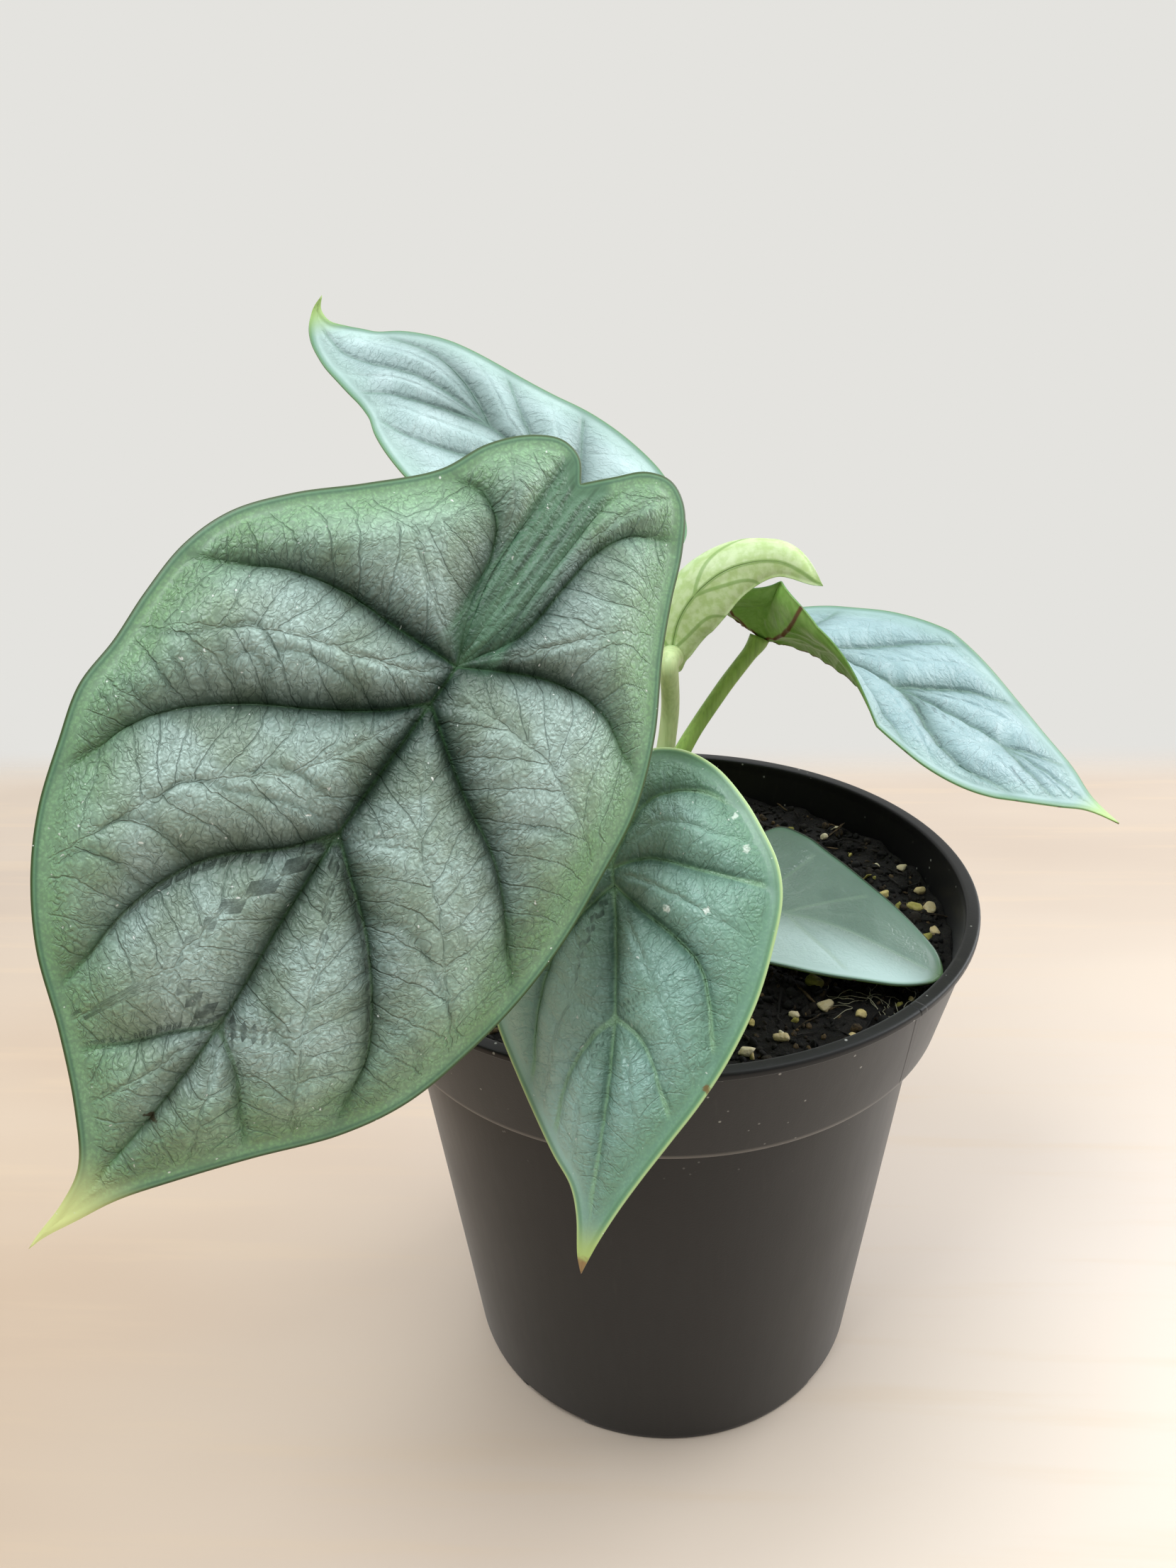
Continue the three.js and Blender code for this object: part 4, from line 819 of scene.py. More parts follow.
smallLeaf = {
    "midrib": [(0, 0), (20, 0), (42.8, 1.2)],
    "notch": (-5, 0),
    "left": [(-6.5, 5), (-4, 10), (2, 14), (10, 16), (19, 16), (26, 14.8), (32.3, 12), (36.7, 9.6),
             (39.8, 6.9), (41.8, 4.1)],
    "right": [(-7, -4), (-7, -10), (-4, -17), (1, -20.4), (8.1, -19.6), (16.6, -16.1), (23.6, -12.7),
              (30.1, -10.3), (35.5, -7.9), (39.9, -5), (42, -1.6)],
    "ribs": [
        {"start": 0, "depth": 0.3, "left": [(-1, 5), (0, 10)], "right": [(-1, -5), (-1, -11)]},
        {"start": 1, "depth": 0.3, "left": [(7, 6), (13, 12)], "right": [(6, -6), (10, -13)]},
        {"start": 12, "depth": 0.3, "left": [(19, 5), (26, 9.6)], "right": [(18, -5), (24, -9.4)]},
    ],
    "puff": 0.4, "puffReach": 5, "foldSpacing": 5, "foldHeight": 0.0, "groove": 0.4,
    "grooveWidth": 1.6, "valleyWidth": 1.2, "spacing": 0.6, "rows": 34,
    "spine": [
        ((7, 0, 105), (0, -0.1, 1), (-0.004, -0.03)),
        ((13, -4.4, 104.9), (0, -0.1, 1), (-0.004, -0.03)),
        ((21.2, -9.8, 105.6), (0, -0.1, 1), (-0.004, -0.03)),
        ((33, -16.6, 106), (0.05, -0.1, 1), (-0.004, -0.03)),
        ((47.6, -24.2, 102.6), (0.25, -0.1, 1), (-0.004, -0.03)),
    ],
    "stalk": [(2, 3), (6, 0.4, 102.8), (10, -2.4, 102.2)],
    "stalkRadius": (1.5, 1.2), "stalkLead": 3, "slot": "small_leaf",
    "look": {
        **paleLook,
        "silver": srgb(114, 134, 124), "silverTwo": srgb(124, 144, 134), "sage": srgb(118, 140, 128),
        # the lighter half of this blade is painted sheen
        "nearShare": 0.8, "valley": srgb(126, 154, 138), "valleyShade": 0.3, "netShade": 0.1,
        "lineDepth": 0.03, "foldLine": 0.0, "veinColor": srgb(150, 174, 154), "veinShade": 0.3,
        "pebbleHeight": 0.06, "pleatHeight": 0.1, "edge": srgb(44, 62, 46), "bandWidth": 0.4,
        "tip": srgb(96, 126, 84), "tipFrom": 40, "tipTo": 43, "roughness": 0.24,
    },
}
growLeaf("small_leaf", smallLeaf)

youngLeaf = {
    "midrib": [(0, 0), (37.2, 0)],
    "notch": (-3, 0),
    "left": [(-3.6, 2.5), (-2, 6), (2, 9.5), (8, 11.5), (16, 10.6), (24, 7.6), (30, 4.2), (35, 1.4)],
    "right": [(-3.2, -1.2), (-1.6, -2.4), (2, -4.4), (7, -6.2), (13, -6.6), (20, -5.4), (28, -2.8),
              (35, -1)],
    "ribs": [
        {"start": 1, "depth": 0.5, "left": [(5, 4), (11, 7.4)], "right": [(5, -2.6), (11, -4.6)]},
        {"start": 12, "depth": 0.5, "left": [(17, 3), (23, 5.4)], "right": [(17, -2), (23, -3)]},
    ],
    "puff": 0.3, "puffReach": 4, "foldSpacing": 4, "foldHeight": 0.0, "groove": 0.3,
    "grooveWidth": 1.6, "valleyWidth": 1.0, "spacing": 0.4, "rows": 34,
    "spine": [
        ((2.6, 2.1, 149.2), (0.1, 0.9, -0.3), (-0.2, -0.15)),
        ((2.4, 2.2, 151.9), (0.1, 0.9, -0.3), (-0.2, -0.1)),
        ((3.8, 2.4, 158.8), (0.1, 0.9, -0.3), (-0.2, -0.05)),
        ((8.1, 2.6, 164.7), (0.1, 0.9, -0.3), (-0.2, -0.04)),
        ((13.5, 3, 167.9), (0.1, 0.9, -0.3), (-0.22, -0.05)),
        ((21.1, 3, 168.6), (0.1, 0.9, -0.3), (-0.25, -0.08)),
        ((28.4, 1, 164.9), (0.1, 0.9, -0.3), (-0.3, -0.1)),
    ],
    "stalk": [(-4, 4.5), (-1, 5.2, 118), (2, 3.4, 140)],
    "stalkRadius": (2.6, 1.7), "stalkLead": 4, "slot": "young_leaf", "stalkSlot": "young_stalk",
    "stalkLook": youngStalk,
    "look": {
        **paleLook,
        "silver": srgb(196, 216, 164), "silverTwo": srgb(214, 230, 192), "sage": srgb(188, 212, 154),
        "valley": srgb(150, 180, 110), "valleyShade": 0.5, "veinColor": srgb(150, 180, 110),
        "creaseColor": srgb(150, 178, 110), "netShade": 0.1, "stippleColor": srgb(170, 196, 128),
        "band": srgb(232, 246, 216), "edge": srgb(236, 250, 224), "bandWidth": 1.5, "bandLine": 0.0,
        "tip": srgb(232, 240, 190), "tipFrom": 33, "tipTo": 37, "under": srgb(182, 206, 138),
        "underTwo": srgb(204, 222, 170), "underVein": srgb(128, 164, 84), "underVeinShade": 0.7,
        "lineDepth": 0.03, "pebbleHeight": 0.05, "pleatHeight": 0.1, "roughness": 0.42,
    },
}
growLeaf("young_leaf", youngLeaf)

# Pot: a thin moulded nursery pot with a collar round its top.

pot = {
    "rimRadius": 60, "height": 107.2, "wall": 1.1, "lipWidth": 2.6, "lipHeight": 1.4,
    "collarHeight": 21.2, "collarFootRadius": 54.6, "stepHeight": 3, "bodyTopRadius": 51.2,
    "baseRadius": 42.1, "footHeight": 2, "footWidth": 5, "padRadius": 12, "floor": 1.4,
    "holeCount": 8, "holeRadius": 4, "holeCircle": 27,
    "notchCount": 4, "notchWidth": 15, "notchHeight": 1.4, "notchAngle": -0.57, "sides": 160,
    "seamAngle": -0.785, "seamLean": 4.1,
}


def bodyRadius(z):
    share = z / (pot["height"] - pot["collarHeight"])
    return pot["baseRadius"] + (pot["bodyTopRadius"] - pot["baseRadius"]) * share


def collarRadius(z):
    share = (pot["height"] - z) / pot["collarHeight"]
    return pot["rimRadius"] + (pot["collarFootRadius"] - pot["rimRadius"]) * share


def rounded(corners):
    # profile with each corner [r, z, rounding] turned into a small arc
    profile = []
    count = len(corners)
    for k, (r, z, size) in enumerate(corners):
        here = np.array([r, z], float)
        if size == 0 or k in (0, count - 1):
            profile.append(here)
            continue
        before = np.array(corners[k - 1][:2], float)
        after = np.array(corners[k + 1][:2], float)
        back, on = unit(before - here), unit(after - here)
        start, end = here + size * back, here + size * on
        for t in np.linspace(0, 1, 6):
            profile.append((1 - t) ** 2 * start + 2 * t * (1 - t) * here + t * t * end)
    return np.array(profile)


def turned(profile, sides):
    # closed solid of revolution about Z from a profile that starts and ends on the axis
    inner = profile[1:-1]
    angles = np.linspace(0, 2 * math.pi, sides, endpoint=False)
    rings = np.stack([np.outer(inner[:, 0], np.cos(angles)), np.outer(inner[:, 0], np.sin(angles)),
                      np.repeat(inner[:, 1:], sides, 1)], -1).reshape(-1, 3)
    points = np.vstack([rings, [[0, 0, profile[0, 1]], [0, 0, profile[-1, 1]]]])
    return points, ringFaces(len(inner), sides)


def potMaterial():
    shader = Shader("black pot plastic", IOR=1.42, Specular_IOR_Level=0.42,
                    Sheen_Weight=0.12, Sheen_Roughness=0.35)
    place = shader.place()
    x, y, z = (shader.axis(place, which) for which in "XYZ")
    cloud = shader.noise(place, 45, 3.0)
    collarFoot = (pot["height"] - pot["collarHeight"]) * mm
    # painted highlight: a pale, patchy line along the foot of the collar stands for light caught on its
    # rounded edge
    collarFootHighlight = z.near(collarFoot + 0.4 * mm, 0.9 * mm) * cloud.between(0.1, 0.5)
    # the mould's parting line runs down the collar, a little to the right of the front leaf
    lean = pot["seamAngle"] + (pot["height"] * mm - z) * pot["seamLean"]
    seam = y.math("ARCTAN2", x) - lean
    seam = seam.math("ABSOLUTE").between(0.016, 0.01) * z.between(collarFoot, collarFoot + mm)
    fine = shader.noise(place, 2600, 2.0)
    streak = shader.noise(place.scaled(1, 1, 0.06), 500, 2.0)
    speckSize = shader.cells(place, 520)
    speckPick = shader.cells(place, 520, "Color").between(0.7, 0.74)
    speck = speckSize.between(0.16, 0.08) * speckPick * z.between(0.07, 0.1)
    tone = shader.mix(cloud.between(0.3, 0.7), srgb(7, 7, 8), srgb(12, 12, 13))
    tone = shader.mix(streak.between(0.6, 0.8) * 0.15, tone, srgb(60, 58, 54))
    tone = shader.mix(collarFootHighlight * 0.6, tone, srgb(128, 124, 118))
    tone = shader.mix(speck * 0.7, tone, srgb(176, 176, 170))
    shader.feed("Base Color", tone)
    shader.feed("Roughness", 0.34 + cloud * 0.1 + streak * 0.06 + speck * 0.2)
    shader.bump(fine * 0.012 + streak * 0.01 + seam * 0.12)
    return shader.material


def makePot():
    height, foot = pot["height"], pot["footHeight"]
    collarFoot = height - pot["collarHeight"]
    step = collarFoot + pot["stepHeight"]
    lipFoot = height - pot["lipHeight"]
    lipInner = pot["rimRadius"] - pot["lipWidth"]
    footInner = pot["baseRadius"] - pot["footWidth"]
    inside = foot + pot["floor"]
    profile = rounded([
        (0, 0, 0), (pot["padRadius"], 0, 0.4), (pot["padRadius"] + 1, foot, 0.4),
        (footInner - 1, foot, 0.4), (footInner, 0, 0.4), (pot["baseRadius"] - 0.4, 0, 0.4),
        (pot["baseRadius"] - 0.1, 1, 0.5), (bodyRadius(collarFoot), collarFoot, 0.3),
        (pot["collarFootRadius"], collarFoot, 0.5), (collarRadius(lipFoot) - 0.5, lipFoot, 0.2),
        (pot["rimRadius"], lipFoot, 0.4), (pot["rimRadius"], height, 0.6), (lipInner, height, 0.7),
        (lipInner - 0.2, height - 2.2, 0.5), (collarRadius(step) - pot["wall"], step, 0.4),
        (bodyRadius(step) - pot["wall"], step, 0.4), (bodyRadius(inside) - pot["wall"], inside, 2.2),
        (0, inside, 0),
    ])
    material = potMaterial()
    points, faces = turned(profile, pot["sides"])
    piece = meshPiece("pot_shell", points, faces, material)
    cutPoints, cutFaces = [], []
    count = 0

    def addCut(mesh, matrix):
        nonlocal count
        for vertex in mesh.vertices:
            cutPoints.append(matrix @ vertex.co)
        cutFaces.extend([[count + i for i in polygon.vertices] for polygon in mesh.polygons])
        count += len(mesh.vertices)
    bpy.ops.mesh.primitive_cylinder_add(vertices=40, radius=pot["holeRadius"], depth=3 * inside)
    hole = bpy.context.object
    for k in range(pot["holeCount"]):
        turn = Matrix.Rotation(2 * math.pi * (k + 0.5) / pot["holeCount"], 4, "Z")
        addCut(hole.data, turn @ Matrix.Translation((pot["holeCircle"], 0, 0)))
    bpy.ops.mesh.primitive_cube_add(size=1)
    notch = bpy.context.object
    size = Matrix.Diagonal((2 * pot["footWidth"] + 4, pot["notchWidth"], 2 * pot["notchHeight"], 1))
    for k in range(pot["notchCount"]):
        turn = Matrix.Rotation(2 * math.pi * k / pot["notchCount"] + pot["notchAngle"], 4, "Z")
        addCut(notch.data, turn @ Matrix.Translation((pot["baseRadius"] - 1, 0, 0)) @ size)
    cutMesh = bpy.data.meshes.new("cuts")
    cutMesh.from_pydata([tuple(p * mm) for p in cutPoints], [], cutFaces)
    cuts = bpy.data.objects.new("cuts", cutMesh)
    bpy.context.scene.collection.objects.link(cuts)
    cut = piece.modifiers.new("cut", "BOOLEAN")
    cut.operation = "DIFFERENCE"
    cut.object = cuts
    settle(piece)
    for helper in (hole, notch, cuts):
        bpy.data.objects.remove(helper)
    piece.data.shade_smooth()
    dress(piece, "pot_plastic", "nursery_pot")
    print("pot", len(piece.data.polygons), "faces")


def settle(piece):
    # the evaluated result becomes the piece's own plain mesh
    shown = piece.evaluated_get(bpy.context.evaluated_depsgraph_get())
    mesh = bpy.data.meshes.new_from_object(shown)
    piece.modifiers.clear()
    piece.data = mesh


makePot()

# Potting mix: peat with crumbs, bark, perlite and a few root hairs.

mix = {
    "level": 98.8, "highest": 100.4, "sideGap": 0.4, "rings": 110, "sectors": 260,
    "waveHeight": 0.4, "mound": 0.4, "moundRadius": 22, "lump": 0.5, "seed": 17,
    "hairs": 18, "hairPatch": (41, -27), "hairRadius": 0.06,
}


def mixWaves(x, y):
    waves = (np.sin(0.42 * x + 1.3 * np.sin(0.31 * y)) + np.sin(0.47 * y + 1.7 * np.sin(0.27 * x + 1))
             + 0.6 * np.sin(0.93 * x - 0.71 * y + 2) + 0.5 * np.sin(0.81 * x + 1.07 * y))
    away = np.hypot(x - stem["centre"][0], y - stem["centre"][1])
    mound = mix["mound"] * np.exp(-((away / mix["moundRadius"]) ** 2))
    return np.minimum(mix["level"] + mix["waveHeight"] * waves + mound, mix["highest"])


def makeMix():
    step = pot["height"] - pot["collarHeight"] + pot["stepHeight"]
    inside = pot["footHeight"] + pot["floor"] + 0.2
    lipInner = pot["rimRadius"] - pot["lipWidth"]
    innerStep = collarRadius(step) - pot["wall"]
    slope = (lipInner - innerStep) / (pot["height"] - step)
    topRadius = innerStep + slope * (mix["level"] - step) - 0.1
    gap = mix["sideGap"] + pot["wall"]
    side = [(bodyRadius(inside) - gap - 2.5, inside), (bodyRadius(inside + 3) - gap, inside + 3),
            (bodyRadius(step) - gap, step - 1.2), (innerStep - 0.6, step + 1.5)]
    angles = np.linspace(0, 2 * math.pi, mix["sectors"], endpoint=False)
    rings = [np.c_[r * np.cos(angles), r * np.sin(angles), np.full(len(angles), z)] for r, z in side]
    random = np.random.default_rng(mix["seed"])
    for k in range(mix["rings"], 0, -1):
        radius = topRadius * k / mix["rings"]
        x, y = radius * np.cos(angles), radius * np.sin(angles)
        lumps = mix["lump"] * (random.random(len(angles)) - 0.5) * min(1, k / 12)
        rings.append(np.c_[x, y, mixWaves(x, y) + lumps])
    points = np.vstack([*rings, [[0, 0, inside], [0, 0, mixWaves(0.0, 0.0)]]])
    faces = ringFaces(len(rings), mix["sectors"])
    shader = Shader("damp peat", IOR=1.4)
    place = shader.place()
    grainy = shader.noise(place, 900, 4.0, 0.7)
    tone = shader.mix(grainy.between(0.35, 0.7), srgb(6, 5, 4), srgb(24, 20, 15))
    shader.feed("Base Color", tone)
    shader.feed("Roughness", 0.75 + grainy * 0.2)
    shader.bump(grainy * 0.9)
    piece = meshPiece("peat", points, faces, shader.material)
    dress(piece, "potting_mix", "potting_mix")
    print("mix", len(faces), "triangles")
    return topRadius


class GeometryTree:
    # a Geometry Nodes tree with named inputs
    def __init__(self, name, inputs):
        self.tree = bpy.data.node_groups.new(name, "GeometryNodeTree")
        sockets = self.tree.interface
        sockets.new_socket("Geometry", in_out="OUTPUT", socket_type="NodeSocketGeometry")
        for key, kind in {"Geometry": "Geometry", **inputs}.items():
            sockets.new_socket(key, in_out="INPUT", socket_type=f"NodeSocket{kind}")
        self.given = self.tree.nodes.new("NodeGroupInput").outputs
        self.result = self.tree.nodes.new("NodeGroupOutput").inputs[0]

    def node(self, kind, inputs, output=0, **settings):
        made = self.tree.nodes.new(kind)
        for key, value in settings.items():
            setattr(made, key, value)
        for key, value in inputs.items():
            if isinstance(value, bpy.types.NodeSocket):
                self.tree.links.new(value, made.inputs[key])
            else:
                made.inputs[key].default_value = value
        return made.outputs[output]

    def grow(self, piece, values):
        grower = piece.modifiers.new(self.tree.name, "NODES")
        grower.node_group = self.tree
        for item in self.tree.interface.items_tree:
            if item.in_out == "INPUT" and item.name in values:
                grower[item.identifier] = values[item.name]
        settle(piece)


def scatterTree():
    # rough little lumps spread over a surface, each with a tone of its own
    tree = GeometryTree("lumps", {
        "Density": "Float", "Seed": "Int", "Detail": "Int", "Smallest": "Vector", "Largest": "Vector",
        "Tilt": "Vector", "Lift": "Vector", "Unevenness": "Float", "Material": "Material"})
    given = tree.given
    points = tree.node("GeometryNodeDistributePointsOnFaces", {
        "Mesh": given["Geometry"], "Density": given["Density"], "Seed": given["Seed"]})
    points = tree.node("GeometryNodeSetPosition", {"Geometry": points, "Offset": given["Lift"]})
    lump = tree.node("GeometryNodeMeshIcoSphere", {"Radius": 0.5, "Subdivisions": given["Detail"]})
    turn = tree.node("FunctionNodeRandomValue", {
        "Max": given["Tilt"], "Seed": given["Seed"]}, data_type="FLOAT_VECTOR")
    size = tree.node("FunctionNodeRandomValue", {
        "Min": given["Smallest"], "Max": given["Largest"], "Seed": given["Seed"]}, data_type="FLOAT_VECTOR")
    tone = tree.node("FunctionNodeRandomValue", {"Seed": given["Seed"]}, 1, data_type="FLOAT")
    lumps = tree.node("GeometryNodeInstanceOnPoints", {
        "Points": points, "Instance": lump, "Rotation": turn, "Scale": size})
    lumps = tree.node("GeometryNodeStoreNamedAttribute", {
        "Geometry": lumps, "Name": "tone", "Value": tone}, data_type="FLOAT", domain="INSTANCE")
    lumps = tree.node("GeometryNodeRealizeInstances", {"Geometry": lumps})
    rough = tree.node("ShaderNodeTexNoise", {"Scale": 700.0, "Detail": 1.0}, 1)
    rough = tree.node("ShaderNodeVectorMath", {0: rough, 1: (0.5, 0.5, 0.5)}, operation="SUBTRACT")
    rough = tree.node("ShaderNodeVectorMath", {0: rough, "Scale": given["Unevenness"]}, operation="SCALE")
    lumps = tree.node("GeometryNodeSetPosition", {"Geometry": lumps, "Offset": rough})
    lumps = tree.node("GeometryNodeSetShadeSmooth", {"Geometry": lumps})
    lumps = tree.node("GeometryNodeSetMaterial", {"Geometry": lumps, "Material": given["Material"]})
    tree.tree.links.new(lumps, tree.result)
    return tree


def grainMaterial(name, stops, roughness):
    shader = Shader(name, IOR=1.4)
    place = shader.place()
    spots = shader.noise(place, 1500, 3.0)
    shown = shader.attribute("tone") + (spots - 0.5) * 0.5
    shader.feed("Base Color", shader.node("ShaderNodeValToRGB", {"stops": stops}, (shown,)))
    shader.feed("Roughness", roughness + spots * 0.2)
    shader.bump(spots * 0.3)
    return shader.material


crumbLook = grainMaterial("peat crumbs", [
    (0, srgb(5, 5, 4)), (0.5, srgb(15, 13, 10)), (0.85, srgb(34, 27, 19)), (1, srgb(84, 68, 44))], 0.75)
perliteLook = grainMaterial("perlite", [
    (0, srgb(96, 100, 34)), (0.3, srgb(168, 158, 84)), (0.6, srgb(196, 176, 128)),
    (1, srgb(214, 206, 180))], 0.7)
# density in pieces per square metre, sizes in millimetres
scattered = {
    "fine_crumbs": {"density": 3.6e5, "seed": 3, "detail": 1, "smallest": (0.5, 0.5, 0.4),
                    "largest": (1.5, 1.4, 1.1), "lift": 0.1, "tilt": 6.3, "rough": 0.5, "look": crumbLook},
    "coarse_crumbs": {"density": 5.5e4, "seed": 5, "detail": 2, "smallest": (1.2, 1.0, 0.8),
                      "largest": (3.4, 2.8, 1.8), "lift": 0.2, "tilt": 6.3, "rough": 1.1,
                      "look": crumbLook},
    "fibres": {"density": 3.5e4, "seed": 8, "detail": 2, "smallest": (3, 0.25, 0.25),
               "largest": (8, 0.6, 0.45), "lift": 0.6, "tilt": 0.5, "rough": 1.2, "look": crumbLook},
    "perlite": {"density": 1.3e4, "seed": 21, "detail": 2, "smallest": (0.5, 0.5, 0.4),
                "largest": (2.8, 2.2, 1.8), "lift": 0.3, "tilt": 6.3, "rough": 1.3, "look": perliteLook},
}
# the grains that the photograph shows: x, y, length, breadth, tone
shownPerlite = [
    (50, 1.3, 4.6, 2.6, 0.35), (56.3, 0.8, 3.4, 3, 0.7), (54.2, -6.9, 3.2, 2.4, 0.65),
    (44.9, 6.1, 3, 2.2, 0.45), (49.9, -9.4, 3.4, 2.8, 0.2), (55.5, 9, 2.6, 2.2, 0.6),
    (27.8, -24.8, 4, 3.4, 0.15), (28.7, -30.9, 3.6, 2.8, 0.75), (34, -34, 2.4, 2, 0.5),
    (23, -33, 2.8, 2, 0.8), (47, -14, 2.2, 1.8, 0.5), (20.5, -40, 3, 2.4, 0.7), (52, 17, 2.6, 2, 0.8),
    (14, -44, 3.2, 2.6, 0.85), (39, -21, 2, 1.6, 0.3),
]


def scatter(topRadius):
    random = np.random.default_rng(mix["seed"])
    tree = scatterTree()
    reach = topRadius - 1.6
    angles = np.linspace(0, 2 * math.pi, 73)[:-1]
    x, y = (np.outer(np.linspace(0, reach, 37), f(angles)) for f in (np.cos, np.sin))
    points = np.c_[x.ravel(), y.ravel(), mixWaves(x, y).ravel()]
    index = np.arange(len(points)).reshape(x.shape)
    after = np.roll(index, -1, 1)
    faces = np.stack([index[:-1], index[1:], after[1:], after[:-1]], -1).reshape(-1, 4)
    for name, kind in scattered.items():
        piece = meshPiece(name, points, faces, kind["look"])
        tree.grow(piece, {
            "Density": kind["density"], "Seed": kind["seed"], "Detail": kind["detail"],
            "Smallest": [c * mm for c in kind["smallest"]], "Largest": [c * mm for c in kind["largest"]],
            "Tilt": (kind["tilt"], kind["tilt"], 2 * math.pi), "Lift": (0.0, 0.0, kind["lift"] * mm),
            "Unevenness": kind["rough"] * mm, "Material": kind["look"]})
        dress(piece, "potting_mix", "potting_mix")
        print(name, len(piece.data.polygons), "triangles")

    bpy.ops.mesh.primitive_ico_sphere_add(subdivisions=3, radius=1)
    ball = bpy.context.object
    sphere = np.array([vertex.co for vertex in ball.data.vertices])
    triangles = np.array([polygon.vertices for polygon in ball.data.polygons])
    bpy.data.objects.remove(ball)
    grains, grainFaces, tones = [], [], []
    for k, (x, y, length, breadth, tone) in enumerate(shownPerlite):
        turn = random.random() * math.pi
        # a ball flattened by a few random planes
        cuts = unit(random.normal(size=(14, 3)))
        cutBack = np.minimum(1, (0.55 / np.maximum(sphere @ cuts.T, 0.05)).min(1))
        body = sphere * cutBack[:, None] * (0.6 * length, 0.6 * breadth, 0.5 * breadth)
        inward = min(1, (reach - length / 2) / math.hypot(x, y))
        x, y = x * inward, y * inward
        across = body[:, 0] * math.sin(turn) + body[:, 1] * math.cos(turn)
        along = body[:, 0] * math.cos(turn) - body[:, 1] * math.sin(turn)
        grains.append(np.c_[along + x, across + y, body[:, 2] + mixWaves(x, y) + 0.6])
        grainFaces.append(triangles + k * len(sphere))
        tones.append(np.full(len(sphere), tone))
    grains = meshPiece("large_perlite", np.vstack(grains), np.vstack(grainFaces), perliteLook,
                       {"tone": np.concatenate(tones)})
    dress(grains, "potting_mix", "potting_mix")

    hairs, hairFaces, count = [], [], 0
    for k in range(mix["hairs"]):
        start = np.array(mix["hairPatch"]) + random.normal(0, 7, 2)
        start *= min(1, (reach - 4) / math.hypot(*start))
        heading = random.random() * 2 * math.pi
        path = [start]
        for _ in range(12):
            heading += random.normal(0, 0.45)
            path.append(path[-1] + (math.cos(heading), math.sin(heading)))
        path = smoothCurve(path, 3)
        keep = np.hypot(path[:, 0], path[:, 1]) < reach - 0.5
        path = path[:np.argmin(np.r_[keep, False])]
        lift = 0.7 + 0.5 * np.sin(np.linspace(0, 7, len(path)) + k)
        body, triangles, _ = tube(np.c_[path, mixWaves(path[:, 0], path[:, 1]) + lift],
                                  np.full(len(path), mix["hairRadius"]), 5)
        hairs.append(body)
        hairFaces.append(triangles + count)
        count += len(body)
    look = Shader("root hairs", Base_Color=srgb(150, 146, 122), Roughness=0.6)
    hairs = meshPiece("root_hairs", np.vstack(hairs), np.vstack(hairFaces), look.material)
    dress(hairs, "potting_mix", "potting_mix")


scatter(makeMix())

# Stem base: the short corm that the stalks rise from.


def makeStem():
    x, y = stem["centre"]
    r, top = stem["radius"], stem["top"]
    profile = smoothCurve([(0, top - stem["depth"]), (0.45 * r, top - stem["depth"] + 1.5),
                           (0.8 * r, top - 18), (r, top - 9), (r, top - 3), (r - 1, top - 0.9),
                           (r - 2.4, top - 0.1), (0, top)], 8)
    points, faces = turned(profile, 64)
    points += (x, y, 0)
    shader = Shader("stem base skin", IOR=1.42)
    place = shader.place()
    ring = shader.noise(place.scaled(1, 1, 5), 260, 3.0)
    tone = shader.mix(ring.between(0.35, 0.65), srgb(120, 104, 66), srgb(150, 156, 92))
    shader.feed("Base Color", tone)
    shader.feed("Roughness", 0.6 + ring * 0.2)
    shader.bump(ring * 0.5)
    piece = meshPiece("corm", points, faces, shader.material)
    dress(piece, "stem", "stem_base")
    print("stem base", len(faces), "triangles")


makeStem()

# Stage: a pale table top that ends a little behind the pot, soft light and the photograph's camera.

table = {"front": -1.6, "back": 0.31, "half": 2.2, "fade": 0.05}


def makeStage():
    front, back, half = table["front"], table["back"], table["half"]
    mesh = bpy.data.meshes.new("table_top")
    mesh.from_pydata([(-half, front, 0), (half, front, 0), (half, back, 0), (-half, back, 0)], [],
                     [(0, 1, 2, 3)])
    shader = Shader("pale table", IOR=1.45)
    place = shader.place()
    drift = shader.noise(place.scaled(1, 3, 1), 3.0, 3.0)
    grainLine = shader.noise(place.scaled(1, 14, 1), 9.0, 4.0)
    x, y = (shader.axis(place, which) for which in "XY")
    # painted shade: the top's colour is darker towards the left and towards the back
    tone = shader.mix(x.between(-0.2, 0.12), srgb(188, 162, 138), srgb(221, 208, 198))
    tone = shader.mix(y.between(-0.02, 0.2), tone, srgb(188, 170, 155))
    tone = shader.mix(drift.between(0.3, 0.7) * 0.4, tone, srgb(222, 206, 188))
    tone = shader.mix(grainLine.between(0.5, 0.7) * 0.25, tone, srgb(214, 190, 162))
    shader.feed("Base Color", tone)
    shader.feed("Roughness", 0.38 + drift * 0.1)
    shader.feed("Alpha", y.between(back, back - table["fade"]))
    mesh.materials.append(shader.material)
    floor = bpy.data.objects.new("table_top", mesh)
    bpy.context.scene.collection.objects.link(floor)


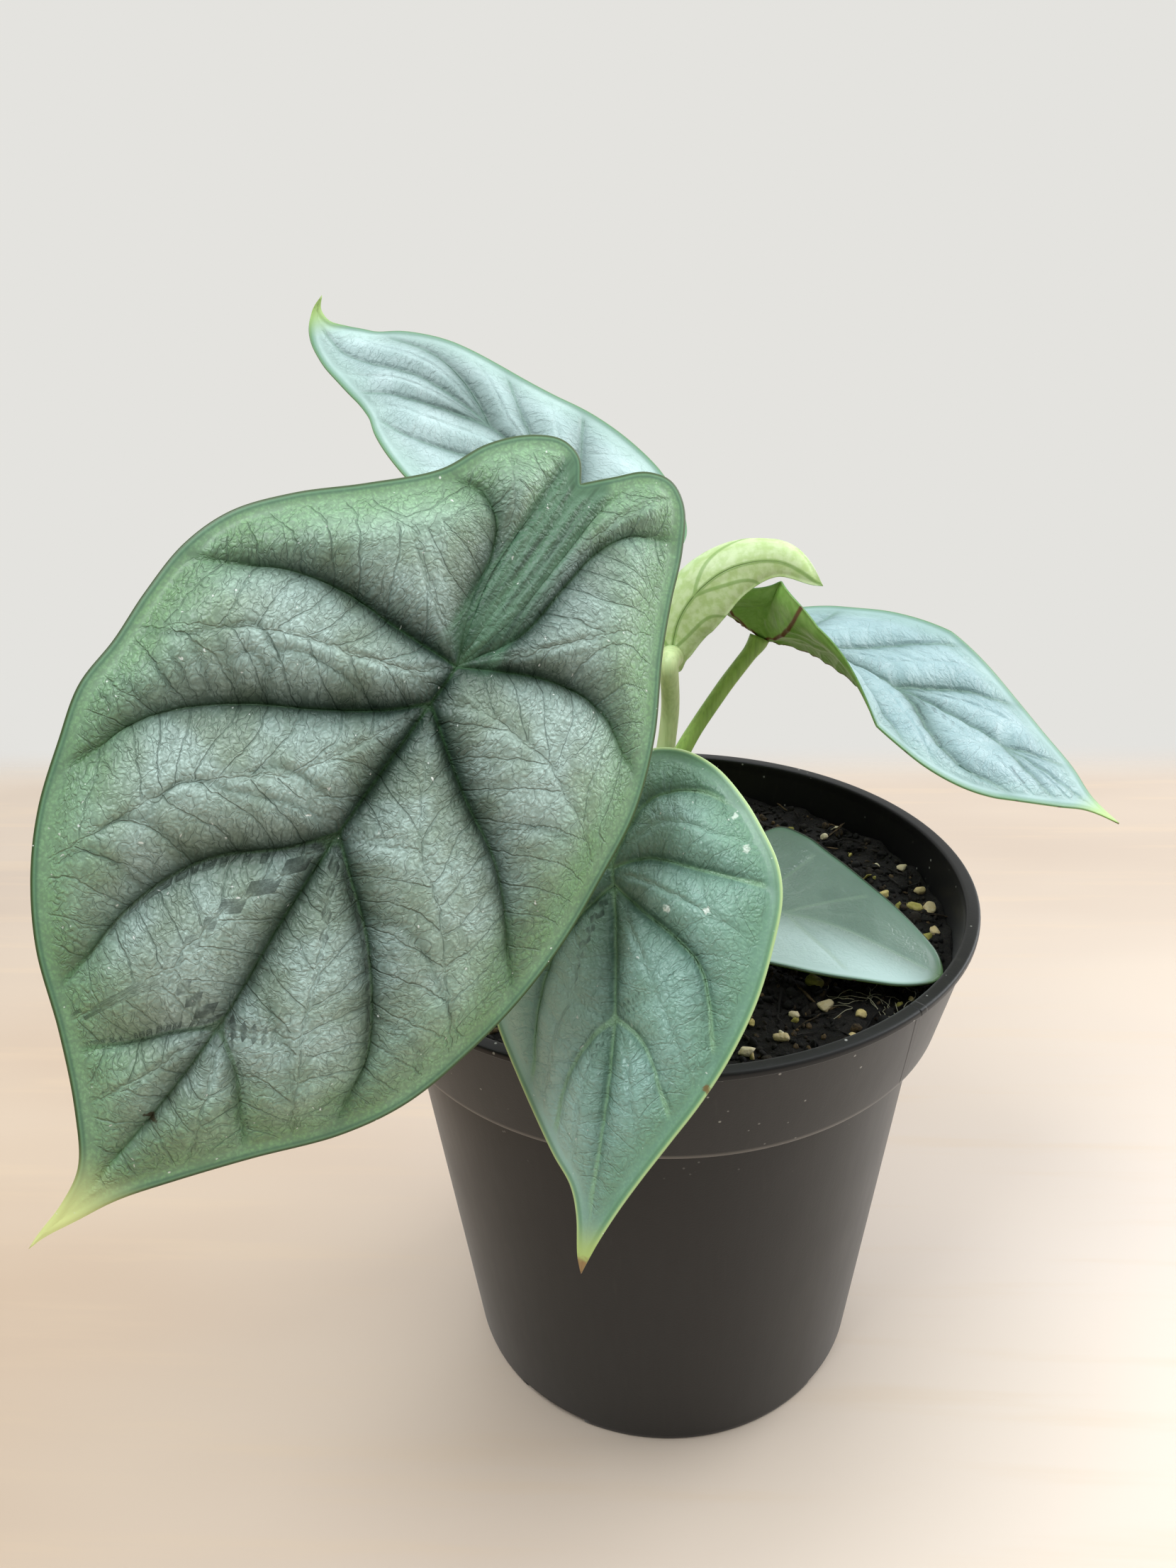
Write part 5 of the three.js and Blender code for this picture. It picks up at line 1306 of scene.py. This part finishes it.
def makeLight():
    # the room is bright behind and above the plant and dim on the viewer's side
    room = Shader("room", bpy.data.worlds, "Background")
    direction = room.node("ShaderNodeTexCoord", output="Generated")
    toward = tuple(unit((0.6, 0.7, 0.4)))
    bright = room.node("ShaderNodeVectorMath", {"operation": "DOT_PRODUCT"}, (direction, toward), 1)
    room.feed("Color", room.mix(bright.between(-0.4, 0.15), srgb(116, 115, 114), srgb(228, 227, 223)))
    bpy.context.scene.world = room.material
    lamps = [
        {"name": "window", "at": (0.85, 0.35, 0.55), "size": 0.8, "power": 9, "color": (0.92, 0.97, 1)},
        {"name": "skylight", "at": (0.1, 0.4, 1.05), "size": 0.9, "power": 3, "color": (0.88, 0.96, 1)},
        {"name": "ceiling", "at": (-0.35, -0.3, 1.0), "size": 0.5, "power": 7, "color": (0.9, 0.97, 1)},
    ]
    for lamp in lamps:
        light = bpy.data.lights.new(lamp["name"], "AREA")
        light.size = lamp["size"]
        light.energy = lamp["power"]
        light.color = lamp["color"]
        holder = bpy.data.objects.new(lamp["name"], light)
        holder.location = lamp["at"]
        toward = Vector((0, 0, 0.12)) - Vector(lamp["at"])
        holder.rotation_euler = toward.to_track_quat("-Z", "Y").to_euler()
        bpy.context.scene.collection.objects.link(holder)


# fitted to the photograph: metres, radians, and the focal length in heights of the picture
viewpoint = {"at": (0, -0.2005, 0.2229), "yaw": -0.067, "pitch": 0.444, "roll": -0.033,
             "focalLength": 1661 / 2212, "sensor": 36}


def makeCamera():
    camera = bpy.data.cameras.new("camera")
    camera.sensor_width = viewpoint["sensor"]
    camera.lens = viewpoint["focalLength"] * viewpoint["sensor"]
    camera.clip_start = 0.01
    holder = bpy.data.objects.new("camera", camera)
    turn = (Matrix.Rotation(-viewpoint["yaw"], 4, "Z")
            @ Matrix.Rotation(math.pi / 2 - viewpoint["pitch"], 4, "X")
            @ Matrix.Rotation(viewpoint["roll"], 4, "Z"))
    holder.matrix_world = Matrix.Translation(viewpoint["at"]) @ turn
    bpy.context.scene.collection.objects.link(holder)
    bpy.context.scene.camera = holder


makeStage()
makeLight()
makeCamera()
bpy.context.scene.view_settings.view_transform = "Standard"
print("stage, light and camera")
